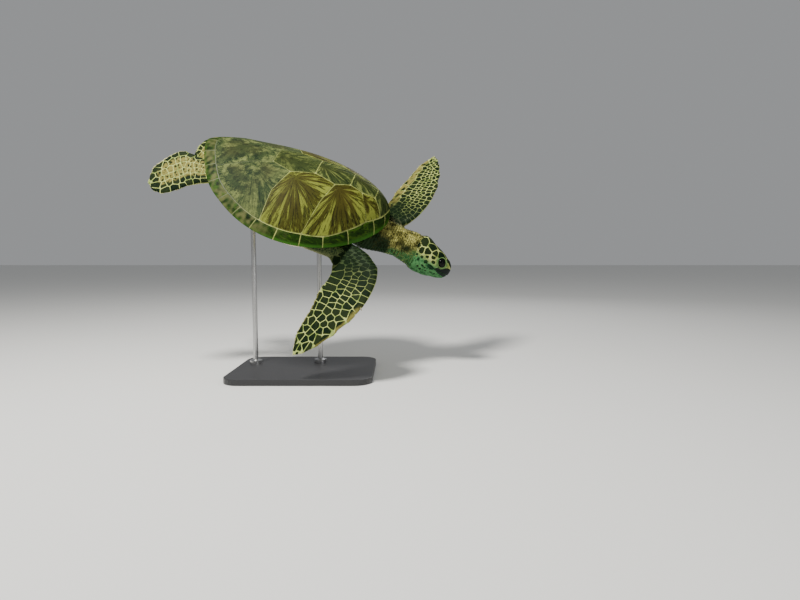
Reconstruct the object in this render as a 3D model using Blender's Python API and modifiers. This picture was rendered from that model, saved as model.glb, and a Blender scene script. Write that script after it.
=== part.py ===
"""Green sea turtle, life size, swimming nose down and banked to its right, on a plain display stand.

The animal is modelled level in its own frame (x forward, y to its left, z up, origin in the middle of
the shell at the height of the lowest margin). One empty then gives the whole body its attitude over the
stand. Every organic form starts as a UV sphere whose points are placed by a function of two numbers:
how far along the form a point lies, and the angle round it. Metres throughout.
"""

import math

import bmesh
import bpy
from mathutils import Matrix, Vector

# ---------------------------------------------------------------- driving dimensions
GAP = 0.0003                  # clearance between pieces that touch

SHELL_LENGTH = 0.600          # straight carapace length
SHELL_HALF_WIDTH = 0.253
SHELL_FRONT_POWER = 0.66      # how blunt the outline is at the neck and at the tail
SHELL_REAR_POWER = 0.68
SHELL_CORNER = 0.06           # how far the outline swells over the hind flippers
DOME_HEIGHT = 0.134           # crest above the margin
MARGIN_RISE_FRONT = 0.045     # the margin sweeps up at both ends
MARGIN_RISE_REAR = 0.062
RIM_THICKNESS = 0.007
SHELL_CENTRE = Vector((0.018, 0.0, 0.0))

BODY_FILL = 0.86              # flesh and plastron reach this share of the way to the rim
BODY_DEPTH = 0.072            # flesh below the lowest margin
BODY_RISE = 0.030             # flesh inside the dome, above the margin
PLASTRON_THICKNESS = 0.009

HEAD_LENGTH = 0.147
NAPE_SHARE = 0.44             # the neck ends this share of the head's length behind its centre
HEAD_HALF_WIDTH = 0.045
HEAD_CENTRE = Vector((0.480, -0.010, -0.008))
HEAD_FORWARD = Vector((0.957, -0.26, -0.053))
HEAD_UP = Vector((0.198, 0.49, 0.831))
EYE_RADIUS = 0.0135
EYE_PLACE = Vector((0.0300, 0.0235, 0.0090))   # in the head's frame: forward, out, up

FRONT_SPAN = 0.386            # front flipper from the shoulder to the tip
FRONT_LEAD_MOST = 0.156       # widest reach of its leading edge ahead of the span line
FRONT_ELBOW = 0.34            # share of the span where arm and blade are parted
FRONT_LIFT = 0.010            # camber of the flipper, highest at mid span
HIND_SPAN = 0.236             # hind flipper from the hip to the tip
HIND_TRAIL_MOST = 0.104       # widest reach of its inner edge
HIND_KNEE = 0.42
HIND_LIFT = 0.006

BODY_PLACE = Vector((-0.030, 0.030, 0.560))    # shell centre over the stand's centre
HEADING = math.radians(5.7)
NOSE_DOWN = math.radians(23.2)
BANK_RIGHT = math.radians(37.4)

BASE_LENGTH = 0.440
BASE_WIDTH = 0.360
BASE_THICKNESS = 0.018
BASE_CORNER = 0.050
ROD_RADIUS = 0.008
ROD_COLLAR_RADIUS = 0.020
ROD_COLLAR_HEIGHT = 0.010
ROD_REACH = {"front": 0.105, "rear": -0.125}   # where each rod meets the plastron, along the body

model = None
cutters = None
attitude = None


# ---------------------------------------------------------------- scene and materials
def start():
    """Empty scene, one collection for the turtle and one for its cutters."""
    global model, cutters, attitude
    for obj in list(bpy.data.objects):
        bpy.data.objects.remove(obj, do_unlink=True)
    model = bpy.data.collections.new("green_sea_turtle")
    cutters = bpy.data.collections.new("cutters")
    bpy.context.scene.collection.children.link(model)
    bpy.context.scene.collection.children.link(cutters)
    attitude = bpy.data.objects.new("attitude", None)
    model.objects.link(attitude)
    turn = Matrix.Rotation(HEADING, 4, "Z")
    turn = turn @ Matrix.Rotation(NOSE_DOWN, 4, "Y")
    turn = turn @ Matrix.Rotation(BANK_RIGHT, 4, "X")
    attitude.matrix_world = Matrix.Translation(BODY_PLACE) @ turn


def material(name, colour, roughness, metallic=0.0):
    """Principled material, made once and shared by name."""
    found = bpy.data.materials.get(name)
    if found:
        return found
    made = bpy.data.materials.new(name)
    made.use_nodes = True
    shader = made.node_tree.nodes["Principled BSDF"]
    shader.inputs["Base Color"].default_value = (*colour, 1.0)
    shader.inputs["Roughness"].default_value = roughness
    shader.inputs["Metallic"].default_value = metallic
    made.diffuse_color = (*colour, 1.0)
    return made


def shell_finish():
    return material("shell_scute", (0.16, 0.13, 0.035), 0.35)


def belly_finish():
    return material("belly_scute", (0.72, 0.66, 0.42), 0.45)


def skin_finish():
    return material("scaled_skin", (0.10, 0.12, 0.05), 0.50)


def horn_finish():
    return material("horn", (0.035, 0.04, 0.025), 0.35)


def eye_finish():
    return material("eye", (0.008, 0.008, 0.007), 0.08)


def steel_finish():
    return material("stand_steel", (0.62, 0.62, 0.62), 0.30, 1.0)


def base_finish():
    return material("stand_board", (0.045, 0.045, 0.048), 0.50)


def add(name, mesh, finish=None, cutter=False, on_body=True):
    """Link a mesh as a part, or as a hidden cutter when it has no finish."""
    obj = bpy.data.objects.new(name, mesh)
    (cutters if cutter else model).objects.link(obj)
    if cutter:
        obj.hide_render = True
        obj.display_type = "WIRE"
    if finish:
        mesh.materials.append(finish)
    if on_body:
        obj.parent = attitude
    return obj


def face_outward(bm):
    """Make a closed form's faces point out of it."""
    bmesh.ops.recalc_face_normals(bm, faces=bm.faces)
    if bm.calc_volume(signed=True) < 0.0:
        bmesh.ops.reverse_faces(bm, faces=bm.faces)


def shaped_sphere(name, segments, rings, place):
    """UV sphere whose points go to place(t, angle): t runs from 0 to 1 between its poles.

    Every quad is split the same way, so a form and its slightly larger cutter have parallel facets.
    """
    mesh = bpy.data.meshes.new(name)
    bm = bmesh.new()
    bmesh.ops.create_uvsphere(bm, u_segments=segments, v_segments=rings, radius=1.0)
    for vert in bm.verts:
        t = math.acos(max(-1.0, min(1.0, vert.co.z))) / math.pi
        vert.co = place(t, math.atan2(vert.co.y, vert.co.x))
    bmesh.ops.triangulate(bm, faces=bm.faces, quad_method="FIXED")
    face_outward(bm)
    bm.to_mesh(mesh)
    bm.free()
    mesh.shade_smooth()
    return mesh


def trimmed(mesh, point, outward):
    """Cut away what lies beyond a plane and close the cut with a flat face."""
    bm = bmesh.new()
    bm.from_mesh(mesh)
    everything = bm.verts[:] + bm.edges[:] + bm.faces[:]
    bmesh.ops.bisect_plane(bm, geom=everything, plane_co=point, plane_no=outward, clear_outer=True)
    rim = [edge for edge in bm.edges if edge.is_boundary]
    bmesh.ops.contextual_create(bm, geom=rim)
    face_outward(bm)
    out = mesh.copy()
    bm.to_mesh(out)
    bm.free()
    return out


def combine(obj, other, operation="DIFFERENCE"):
    """Exact Boolean that stays on the object."""
    step = obj.modifiers.new(f"{operation.lower()}_{other.name}", "BOOLEAN")
    step.operation = operation
    step.object = other
    step.solver = "EXACT"


def baked(obj, name):
    """Evaluated mesh of an object, in its own frame."""
    bpy.context.view_layer.update()
    graph = bpy.context.evaluated_depsgraph_get()
    mesh = bpy.data.meshes.new_from_object(obj.evaluated_get(graph))
    mesh.name = name
    return mesh


# ---------------------------------------------------------------- small shape functions
def bell(s, front, rear):
    """Rises from 0 at s = 0 to 1 and back to 0 at s = 1; the powers say how blunt each end is."""
    s = max(0.0, min(1.0, s))
    peak = front / (front + rear)
    return (s / peak) ** front * ((1.0 - s) / (1.0 - peak)) ** rear


def blend(table, t):
    """Smooth reading of a short table of (t, value) pairs."""
    for (t0, v0), (t1, v1) in zip(table, table[1:]):
        if t <= t1:
            share = max(0.0, (t - t0) / (t1 - t0))
            share = share * share * (3.0 - 2.0 * share)
            return v0 + (v1 - v0) * share
    return table[-1][1]


# ---------------------------------------------------------------- shell
def half_width(s):
    """Half width of the carapace, s from 0 at the neck to 1 at the tail."""
    corner = 1.0 + SHELL_CORNER * math.exp(-(((s - 0.88) / 0.07) ** 2))
    return SHELL_HALF_WIDTH * bell(s, SHELL_FRONT_POWER, SHELL_REAR_POWER) * corner


def rim_point(angle):
    """Outline of the shell in plan: angle 0 is the neck, 90 degrees its left."""
    s = (1.0 - math.cos(angle)) / 2.0
    side = 1.0 if math.sin(angle) >= 0.0 else -1.0
    return Vector((SHELL_LENGTH * (0.5 - s), side * half_width(s), 0.0))


def margin_height(x):
    s = max(0.0, min(1.0, 0.5 - x / SHELL_LENGTH))
    return MARGIN_RISE_FRONT * (1.0 - s) ** 3 + MARGIN_RISE_REAR * s ** 6


def dome_height(x, y):
    """Height of the carapace over the margin."""
    s = max(0.0, min(1.0, 0.5 - x / SHELL_LENGTH))
    across = min(1.0, abs(y) / max(half_width(s), 1e-6))
    crest = DOME_HEIGHT * bell(s, 0.42, 0.755)
    return crest * (1.0 - across ** 1.55) ** 0.88


def carapace_place(grow):
    def place(t, angle):
        reach = math.sin(math.pi * t)
        rim = rim_point(angle)
        spot = SHELL_CENTRE + (rim - SHELL_CENTRE) * reach
        if t <= 0.5:
            height = margin_height(spot.x) + dome_height(spot.x, spot.y)
        else:
            height = margin_height(spot.x) - RIM_THICKNESS * (1.0 - reach ** 8) ** 0.5 - grow
        outward = (rim - SHELL_CENTRE).normalized() * grow * reach
        return Vector((spot.x, spot.y, height)) + outward
    return place


def body_place(grow, drop=0.0):
    """The flesh inside the shell; drop lowers its belly for the plastron's outer face."""
    def place(t, angle):
        reach = math.sin(math.pi * t)
        rim = rim_point(angle)
        out = SHELL_CENTRE + (rim - SHELL_CENTRE) * BODY_FILL
        out = out + (rim - SHELL_CENTRE).normalized() * (grow + drop * 0.8)
        spot = SHELL_CENTRE + (out - SHELL_CENTRE) * reach
        lengthwise = 0.90 + 0.10 * math.cos(math.pi * spot.x / SHELL_LENGTH)
        if t <= 0.5:
            height = margin_height(spot.x) + (BODY_RISE + grow) * (1.0 - reach ** 2) ** 0.5
        else:
            belly = (BODY_DEPTH + grow + drop) * lengthwise
            height = margin_height(spot.x) - (belly + margin_height(spot.x)) * (1.0 - reach ** 3.2) ** 0.55
        return Vector((spot.x, spot.y, height))
    return place


PLASTRON_OUTLINE = (  # along the body, half width
    (0.262, 0.000), (0.258, 0.034), (0.238, 0.066), (0.200, 0.098), (0.150, 0.128), (0.112, 0.150),
    (0.088, 0.190), (0.076, 0.270), (-0.082, 0.270), (-0.096, 0.180), (-0.120, 0.128),
    (-0.170, 0.098), (-0.215, 0.070), (-0.240, 0.036), (-0.244, 0.000),
)


def plastron_prism(name, grow):
    """Upright block with the plastron's outline in plan."""
    curve = bpy.data.curves.new(name, "CURVE")
    curve.dimensions = "2D"
    curve.fill_mode = "BOTH"
    curve.extrude = 0.20
    left = [(x + math.copysign(grow, x), y + (grow if y else 0.0)) for x, y in PLASTRON_OUTLINE]
    right = [(x, -y) for x, y in reversed(left[1:-1])]
    line = curve.splines.new("POLY")
    line.points.add(len(left) + len(right) - 1)
    for point, (x, y) in zip(line.points, left + right):
        point.co = (x, y, 0.0, 1.0)
    line.use_cyclic_u = True
    guide = bpy.data.objects.new(name + "_curve", curve)
    cutters.objects.link(guide)
    mesh = baked(guide, name)
    bpy.data.objects.remove(guide, do_unlink=True)
    bm = bmesh.new()
    bm.from_mesh(mesh)
    bmesh.ops.remove_doubles(bm, verts=bm.verts, dist=0.00001)
    face_outward(bm)
    bm.to_mesh(mesh)
    bm.free()
    return add(name, mesh, cutter=True)


WEB_REAR = Vector((0.050, -0.148, -0.064))   # lowest edge of the skin fold behind the right arm
WEB_FRONT = Vector((0.212, -0.166, -0.039))
WEB_WIDE = ((0.0, 0.004), (0.35, 0.011), (0.70, 0.017), (1.0, 0.018))
WEB_TALL = 1.6                               # height of the fold for its width


def web_place(grow):
    """Fold of skin that runs from the right arm's root back under the rim."""
    def place(t, angle):
        along = (1.0 - math.cos(math.pi * t)) / 2.0
        ends = (1.0 - ((along - 0.5) * 2.0) ** 8) ** 0.5
        wide = blend(WEB_WIDE, along)
        spot = WEB_REAR.lerp(WEB_FRONT, along)
        spot.x += 2.0 * grow * (2.0 * along - 1.0)
        spot.y += (wide * ends + grow) * math.cos(angle)
        spot.z += WEB_TALL * wide + (WEB_TALL * wide * ends + grow) * math.sin(angle)
        return spot
    return place


def make_shell():
    """Carapace, flesh of the trunk, and the plastron with its bridges."""
    top = shaped_sphere("carapace", 44, 16, carapace_place(0.0))
    add("carapace", top, shell_finish())
    clear_top = add("cut_carapace", shaped_sphere("cut_carapace", 44, 16, carapace_place(GAP)), cutter=True)

    trunk = add("trunk", shaped_sphere("trunk", 24, 10, body_place(0.0)), skin_finish())
    combine(trunk, add("web", shaped_sphere("web", 8, 6, web_place(0.0)), cutter=True), "UNION")
    combine(trunk, clear_top)
    clear_trunk = add("cut_trunk", shaped_sphere("cut_trunk", 24, 10, body_place(GAP)), cutter=True)
    combine(clear_trunk, add("cut_web", shaped_sphere("cut_web", 8, 6, web_place(GAP)), cutter=True), "UNION")

    outer = shaped_sphere("plastron", 24, 10, body_place(0.0, PLASTRON_THICKNESS))
    plastron = add("plastron", outer, belly_finish())
    combine(plastron, plastron_prism("cut_plastron_outline", 0.0), "INTERSECT")
    combine(plastron, clear_trunk)
    combine(plastron, clear_top)

    block = shaped_sphere("cut_plastron", 24, 10, body_place(GAP, PLASTRON_THICKNESS))
    clear_plastron = add("cut_plastron", block, cutter=True)
    combine(clear_plastron, plastron_prism("cut_plastron_clear", GAP), "INTERSECT")
    return clear_top, clear_trunk, clear_plastron


# ---------------------------------------------------------------- neck and head
def head_frame():
    forward = HEAD_FORWARD.normalized()
    left = HEAD_UP.cross(forward).normalized()
    up = forward.cross(left)
    frame = Matrix((forward, left, up)).transposed().to_4x4()
    frame.translation = HEAD_CENTRE
    return frame


HEAD_TOP = ((0.0, 0.0580), (0.22, 0.0575), (0.42, 0.0490), (0.60, 0.0445), (0.80, 0.0360), (1.0, 0.0270))
HEAD_BOTTOM = ((0.0, 0.0620), (0.26, 0.0660), (0.50, 0.0590), (0.72, 0.0450), (0.88, 0.0325), (1.0, 0.0200))
HEAD_SIDE = ((0.0, 0.0435), (0.30, 0.0450), (0.50, 0.0415), (0.68, 0.0340), (0.84, 0.0245), (1.0, 0.0140))
SNOUT_CENTRE = ((0.0, 0.0), (0.6, -0.0010), (1.0, -0.0050))


def head_place(t, angle):
    """Sections from the nape (t = 0) to the snout (t = 1) in the head's frame."""
    along = (1.0 - math.cos(math.pi * t)) / 2.0
    ends = min(1.0, (1.0 - ((along - 0.5) * 2.0) ** 10) ** 0.5 * 1.02)
    x = (along - 0.5) * HEAD_LENGTH
    across = math.cos(angle)
    upward = math.sin(angle)
    side = blend(HEAD_SIDE, along) * ends
    tall = blend(HEAD_TOP if upward >= 0.0 else HEAD_BOTTOM, along) * ends
    y = side * math.copysign(abs(across) ** 0.85, across)
    z = tall * math.copysign(abs(upward) ** 0.90, upward) + blend(SNOUT_CENTRE, along)
    return Vector((x, y, z))


def side_block(name, outline, frame):
    """Block cut square across the head from an outline in its side view."""
    mesh = bpy.data.meshes.new(name)
    bm = bmesh.new()
    half = HEAD_HALF_WIDTH * 1.5
    near = [bm.verts.new((x, -half, z)) for x, z in outline]
    face = bm.faces.new(near)
    far = bmesh.ops.extrude_face_region(bm, geom=[face])["geom"]
    moved = [item for item in far if isinstance(item, bmesh.types.BMVert)]
    bmesh.ops.translate(bm, verts=moved, vec=(0.0, 2.0 * half, 0.0))
    face_outward(bm)
    bm.to_mesh(mesh)
    bm.free()
    block = add(name, mesh, cutter=True)
    block.matrix_local = frame
    return block


MOUTH_LINE = ((-0.006, -0.0170), (0.020, -0.0185), (0.045, -0.0165), (0.080, -0.0150))
BEAK_EDGE = ((0.080, 0.0000), (0.060, -0.0010), (0.044, -0.0075), (0.024, -0.0110))


def jaw_outline(grow):
    upper = [(x - (grow if x < 0.0 else 0.0), z + grow) for x, z in MOUTH_LINE]
    return upper + [(0.080, -0.060), (-0.006 - grow, -0.060)]


def beak_outline(grow):
    lower = [(x, z + GAP - grow) for x, z in MOUTH_LINE[1:]]
    upper = [(x, z + grow) for x, z in BEAK_EDGE]
    return [(0.020 - grow, lower[0][1])] + lower + upper + [(0.020 - grow, -0.0115 + grow)]


def make_eye(side, frame):
    """Eyeball that sits deep in its socket; the socket is cut by the same ball grown by the gap."""
    label = "left" if side > 0 else "right"
    place = Vector((EYE_PLACE.x, EYE_PLACE.y * side, EYE_PLACE.z))

    def ball(radius):
        def spot(t, angle):
            ring = math.sin(math.pi * t)
            unit = Vector((ring * math.cos(angle), math.cos(math.pi * t) * side, ring * math.sin(angle)))
            return place + unit * radius
        return spot

    eye = add("eye_" + label, shaped_sphere("eye_" + label, 16, 8, ball(EYE_RADIUS)), eye_finish())
    eye.matrix_local = frame
    name = "cut_eye_" + label
    socket = add(name, shaped_sphere(name, 16, 8, ball(EYE_RADIUS + GAP)), cutter=True)
    socket.matrix_local = frame
    return socket


NECK_PATH = (  # along the body, sideways, height, half width, half height
    (0.190, 0.000, -0.006, 0.090, 0.042),
    (0.255, -0.004, -0.002, 0.092, 0.046),
    (0.310, -0.004, 0.002, 0.070, 0.046),
    (0.360, 0.000, -0.001, 0.051, 0.047),
    (0.405, 0.003, -0.007, 0.048, 0.058),
    (0.460, -0.003, -0.011, 0.048, 0.062),
)


def neck_place(grow):
    def place(t, angle):
        return neck_point((1.0 - math.cos(math.pi * t)) / 2.0, angle, grow)
    return place


def neck_point(along, angle, grow):
    steps = [index / (len(NECK_PATH) - 1.0) for index in range(len(NECK_PATH))]
    x, y, z, wide, tall = (blend(tuple(zip(steps, column)), along) for column in zip(*NECK_PATH))
    ends = (1.0 - ((along - 0.5) * 2.0) ** 12) ** 0.5
    wide = wide * ends + grow
    tall = tall * ends + grow
    return Vector((x, y + wide * math.cos(angle), z + tall * math.sin(angle)))


def make_head(clear_body):
    """Neck, head, upper beak, lower jaw and eyes, parted by thin cuts."""
    frame = head_frame()
    forward = HEAD_FORWARD.normalized()
    nape = HEAD_CENTRE - forward * (HEAD_LENGTH * NAPE_SHARE)

    neck_mesh = trimmed(shaped_sphere("neck", 20, 11, neck_place(0.0)), nape - forward * GAP, forward)
    neck = add("neck", neck_mesh, skin_finish())
    for cutter in clear_body:
        combine(neck, cutter)
    clear_neck = add("cut_neck", shaped_sphere("cut_neck", 20, 11, neck_place(GAP)), cutter=True)

    behind = Vector((-HEAD_LENGTH * NAPE_SHARE, 0.0, 0.0))
    whole = trimmed(shaped_sphere("head", 22, 16, head_place), behind, Vector((-1.0, 0.0, 0.0)))
    sockets = [make_eye(side, frame) for side in (1, -1)]
    jaw_block = side_block("cut_jaw", jaw_outline(0.0), frame)
    jaw_clear = side_block("cut_jaw_clear", jaw_outline(GAP), frame)
    beak_block = side_block("cut_beak", beak_outline(0.0), frame)
    beak_clear = side_block("cut_beak_clear", beak_outline(GAP), frame)

    head = add("head", whole.copy(), skin_finish())
    for cutter in (jaw_clear, beak_clear, *sockets):
        combine(head, cutter)
    jaw = add("jaw_lower", whole.copy(), horn_finish())
    combine(jaw, jaw_block, "INTERSECT")
    beak = add("beak_upper", whole.copy(), horn_finish())
    combine(beak, beak_block, "INTERSECT")
    for piece in (head, jaw, beak):
        piece.matrix_local = frame
    return clear_neck


# ---------------------------------------------------------------- flippers
# Flipper outlines: share of the span, then share of the widest reach ahead of and behind the span line.
FRONT_LEAD = ((0.0, 0.30), (0.08, 0.68), (0.17, 0.95), (0.28, 1.05), (0.40, 1.06), (0.52, 1.00),
              (0.62, 0.88), (0.75, 0.67), (0.87, 0.43), (0.95, 0.23), (1.0, 0.02))
FRONT_TRAIL = ((0.20, 0.04), (0.27, -0.05), (0.35, -0.05), (0.45, 0.02), (0.60, 0.03),
               (0.72, 0.08), (0.82, 0.13), (0.95, 0.07), (1.0, 0.01))
FRONT_ARMPIT = {"right": ((0.0, 0.60), (0.12, 0.48)), "left": ((0.0, 0.20), (0.12, 0.16))}
FRONT_THICK = ((0.0, 0.022), (0.15, 0.019), (0.30, 0.0135), (0.60, 0.0085), (0.90, 0.0045), (1.0, 0.0022))
HIND_LEAD = ((0.0, 0.30), (0.20, 0.24), (0.30, 0.23), (0.47, 0.27), (0.64, 0.40), (0.80, 0.43),
             (0.92, 0.32), (1.0, 0.02))
HIND_TRAIL = ((0.0, 0.40), (0.20, 0.61), (0.32, 0.70), (0.38, 0.82), (0.55, 1.00), (0.62, 0.98),
              (0.72, 0.85), (0.86, 0.69), (0.93, 0.56), (0.98, 0.31), (1.0, 0.02))
HIND_THICK = ((0.0, 0.018), (0.30, 0.014), (0.60, 0.0080), (0.85, 0.0045), (1.0, 0.0024))


def flipper_place(base, span, chord, length, lead, trail, thick, lift):
    """Airfoil sections along a span: lead and trail are distances from the line base to tip."""
    up = span.cross(chord).normalized()
    if up.z < 0.0:
        up = -up

    def place(t, angle):
        along = (1.0 - math.cos(math.pi * t)) / 2.0
        ends = (1.0 - ((along - 0.5) * 2.0) ** 14) ** 0.5
        front = lead(along) * ends
        back = trail(along) * ends
        middle = (front - back) / 2.0
        half = (front + back) / 2.0
        fore = math.cos(angle)
        body = thick(along) * (0.66 + 0.34 * fore) * ends
        spot = base + span * (length * along) + chord * (middle + half * fore)
        return spot + up * (body * math.sin(angle) + lift(along))
    return place


def perpendicular(vector, direction):
    """Part of a vector square to a direction, as a unit vector."""
    return (vector - direction * vector.dot(direction)).normalized()


FRONT_ROOT = {"right": Vector((0.195, -0.120, 0.006)), "left": Vector((0.239, 0.047, -0.036))}
FRONT_AIM = {"right": Vector((-0.018, -0.841, -0.540)), "left": Vector((0.346, 0.790, 0.505))}
FRONT_PITCH = {"right": Vector((0.846, -0.301, 0.440)), "left": Vector((0.683, -0.582, 0.442))}
HIND_ROOT = {"right": Vector((-0.208, -0.050, 0.004)), "left": Vector((-0.196, 0.055, -0.006))}
HIND_AIM = {"right": Vector((-0.870, -0.291, -0.399)), "left": Vector((-0.800, 0.500, -0.330))}
HIND_PITCH = {"right": Vector((0.442, -0.817, -0.369)), "left": Vector((0.163, 0.714, 0.680))}


def front_solid(side, name):
    span = FRONT_AIM[side].normalized()
    chord = perpendicular(FRONT_PITCH[side], span)
    place = flipper_place(
        FRONT_ROOT[side], span, chord, FRONT_SPAN,
        lambda t: FRONT_LEAD_MOST * blend(FRONT_LEAD, t),
        lambda t: FRONT_LEAD_MOST * blend(FRONT_ARMPIT[side] + FRONT_TRAIL, t),
        lambda t: blend(FRONT_THICK, t),
        lambda t: FRONT_LIFT * math.sin(math.pi * t) ** 2,
    )
    return shaped_sphere(name, 16, 22, place), span, FRONT_ROOT[side]


def hind_solid(side, name):
    span = HIND_AIM[side].normalized()
    chord = perpendicular(HIND_PITCH[side], span)
    place = flipper_place(
        HIND_ROOT[side], span, chord, HIND_SPAN,
        lambda t: HIND_TRAIL_MOST * blend(HIND_LEAD, t),
        lambda t: HIND_TRAIL_MOST * blend(HIND_TRAIL, t),
        lambda t: blend(HIND_THICK, t),
        lambda t: HIND_LIFT * math.sin(math.pi * t) ** 2,
    )
    return shaped_sphere(name, 16, 18, place), span, HIND_ROOT[side]


def make_flipper(inner_name, outer_name, solid, cut_at, clear_body):
    """One flipper parted square to its span into the limb's inner and outer pieces."""
    mesh, span, root = solid
    joint = root + span * cut_at
    inner = add(inner_name, trimmed(mesh, joint - span * GAP / 2.0, span), skin_finish())
    for cutter in clear_body:
        combine(inner, cutter)
    add(outer_name, trimmed(mesh, joint + span * GAP / 2.0, -span), skin_finish())


def make_flippers(clear_body, clear_neck):
    for side in ("right", "left"):
        front = front_solid(side, "front_" + side)
        around = (*clear_body, clear_neck)
        make_flipper("front_arm_" + side, "front_blade_" + side, front, FRONT_SPAN * FRONT_ELBOW, around)
        hind = hind_solid(side, "hind_" + side)
        make_flipper("hind_leg_" + side, "hind_paddle_" + side, hind, HIND_SPAN * HIND_KNEE, clear_body)


TAIL_ROOT = Vector((-0.212, 0.003, -0.008))
TAIL_LENGTH = 0.105
TAIL_DROP = 0.014
TAIL_RADIUS = 0.020


def tail_place(t, angle):
    along = (1.0 - math.cos(math.pi * t)) / 2.0
    radius = TAIL_RADIUS * (1.0 - 0.72 * along) * (1.0 - ((along - 0.5) * 2.0) ** 12) ** 0.5
    spot = TAIL_ROOT + Vector((-TAIL_LENGTH * along, 0.0, -TAIL_DROP * along ** 2))
    return spot + Vector((0.0, radius * 1.1 * math.cos(angle), radius * 0.85 * math.sin(angle)))


def make_tail(clear_body):
    tail = add("tail", shaped_sphere("tail", 14, 9, tail_place), skin_finish())
    for cutter in clear_body:
        combine(tail, cutter)


# ---------------------------------------------------------------- stand
def rounded_board():
    curve = bpy.data.curves.new("stand_base", "CURVE")
    curve.dimensions = "2D"
    curve.fill_mode = "BOTH"
    curve.extrude = BASE_THICKNESS / 2.0
    corners = [(1, 1), (-1, 1), (-1, -1), (1, -1)]
    steps = 6
    points = []
    for index, (sx, sy) in enumerate(corners):
        cx = sx * (BASE_LENGTH / 2.0 - BASE_CORNER)
        cy = sy * (BASE_WIDTH / 2.0 - BASE_CORNER)
        for step in range(steps + 1):
            angle = math.pi / 2.0 * (index + step / steps)
            points.append((cx + BASE_CORNER * math.cos(angle), cy + BASE_CORNER * math.sin(angle)))
    line = curve.splines.new("POLY")
    line.points.add(len(points) - 1)
    for point, (x, y) in zip(line.points, points):
        point.co = (x, y, BASE_THICKNESS / 2.0, 1.0)
    line.use_cyclic_u = True
    guide = bpy.data.objects.new("stand_curve", curve)
    cutters.objects.link(guide)
    mesh = baked(guide, "stand_base")
    bpy.data.objects.remove(guide, do_unlink=True)
    bm = bmesh.new()
    bm.from_mesh(mesh)
    bmesh.ops.remove_doubles(bm, verts=bm.verts, dist=0.00001)
    bmesh.ops.translate(bm, verts=bm.verts, vec=(0.0, 0.0, -min(vert.co.z for vert in bm.verts)))
    face_outward(bm)
    bm.to_mesh(mesh)
    bm.free()
    return mesh


def make_stand():
    """Board and two upright rods whose tops are cut to the slope of the plastron."""
    board = add("stand_base", rounded_board(), base_finish(), on_body=False)
    edge = board.modifiers.new("soft_edge", "BEVEL")
    edge.width = 0.003
    edge.segments = 2
    edge.limit_method = "ANGLE"
    down = (attitude.matrix_world.to_3x3() @ Vector((0.0, 0.0, -1.0))).normalized()
    for label, along in ROD_REACH.items():
        belly = Vector((along, 0.0, -BODY_DEPTH - PLASTRON_THICKNESS))
        contact = attitude.matrix_world @ belly + down * GAP
        profile = (
            (0.0, BASE_THICKNESS + GAP),
            (ROD_COLLAR_RADIUS, BASE_THICKNESS + GAP),
            (ROD_COLLAR_RADIUS, BASE_THICKNESS + ROD_COLLAR_HEIGHT),
            (ROD_RADIUS, BASE_THICKNESS + ROD_COLLAR_HEIGHT + 0.004),
            (ROD_RADIUS, contact.z + 0.050),
            (0.0, contact.z + 0.050),
        )
        bm = bmesh.new()
        verts = [bm.verts.new((radius, 0.0, height)) for radius, height in profile]
        for first, second in zip(verts, verts[1:]):
            bm.edges.new((first, second))
        spun = bm.verts[:] + bm.edges[:]
        bmesh.ops.spin(bm, geom=spun, cent=(0, 0, 0), axis=(0, 0, 1), angle=math.tau, steps=20)
        bmesh.ops.remove_doubles(bm, verts=bm.verts, dist=0.00001)
        face_outward(bm)
        bmesh.ops.translate(bm, verts=bm.verts, vec=(contact.x, contact.y, 0.0))
        mesh = bpy.data.meshes.new("stand_rod_" + label)
        bm.to_mesh(mesh)
        bm.free()
        rod = trimmed(mesh, contact, -down)
        rod.shade_smooth()
        rod.set_sharp_from_angle(angle=math.radians(35.0))
        add("stand_rod_" + label, rod, steel_finish(), on_body=False)


def main():
    start()
    clear_body = make_shell()
    clear_neck = make_head(clear_body)
    make_flippers(clear_body, clear_neck)
    make_tail(clear_body)
    make_stand()


main()
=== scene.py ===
# %% [markdown]
# # A green sea turtle for a museum hall
#
# The object is a life-size, still model of a green sea turtle that swims nose down and leans to its
# right. A flat base with two upright rods holds it up. The solids that carry the model's size come
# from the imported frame. This lesson dresses them: one skin over all the flesh, a shell of separate
# horny plates, raised scales on head, neck, tail and flippers, wet eyes, a dark beak and claws.
#
# Everything is modelled in metres in the frame's own axes: +X is where the animal heads, +Y is the
# far side, +Z is up, and the floor is at z = 0.

# %% Load the frame
import math
import random

import bmesh
import bpy
import numpy as np
from mathutils import Matrix, Vector, noise
from mathutils.bvhtree import BVHTree
from mathutils.kdtree import KDTree


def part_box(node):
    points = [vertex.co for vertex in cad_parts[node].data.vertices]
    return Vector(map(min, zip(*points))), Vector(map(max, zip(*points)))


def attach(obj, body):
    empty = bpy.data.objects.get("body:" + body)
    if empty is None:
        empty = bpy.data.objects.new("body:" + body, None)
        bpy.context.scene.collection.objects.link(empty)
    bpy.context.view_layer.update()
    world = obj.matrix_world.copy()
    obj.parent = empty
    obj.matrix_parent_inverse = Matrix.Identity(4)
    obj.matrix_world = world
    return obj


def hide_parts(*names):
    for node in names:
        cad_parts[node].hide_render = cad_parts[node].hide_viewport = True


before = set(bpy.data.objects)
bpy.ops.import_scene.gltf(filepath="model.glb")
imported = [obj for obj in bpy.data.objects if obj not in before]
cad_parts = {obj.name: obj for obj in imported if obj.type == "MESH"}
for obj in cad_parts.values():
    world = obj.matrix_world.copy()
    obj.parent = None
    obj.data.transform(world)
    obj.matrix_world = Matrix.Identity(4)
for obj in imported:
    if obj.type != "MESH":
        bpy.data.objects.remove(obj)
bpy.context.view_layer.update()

print("frame nodes:", ", ".join(sorted(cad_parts)))

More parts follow.
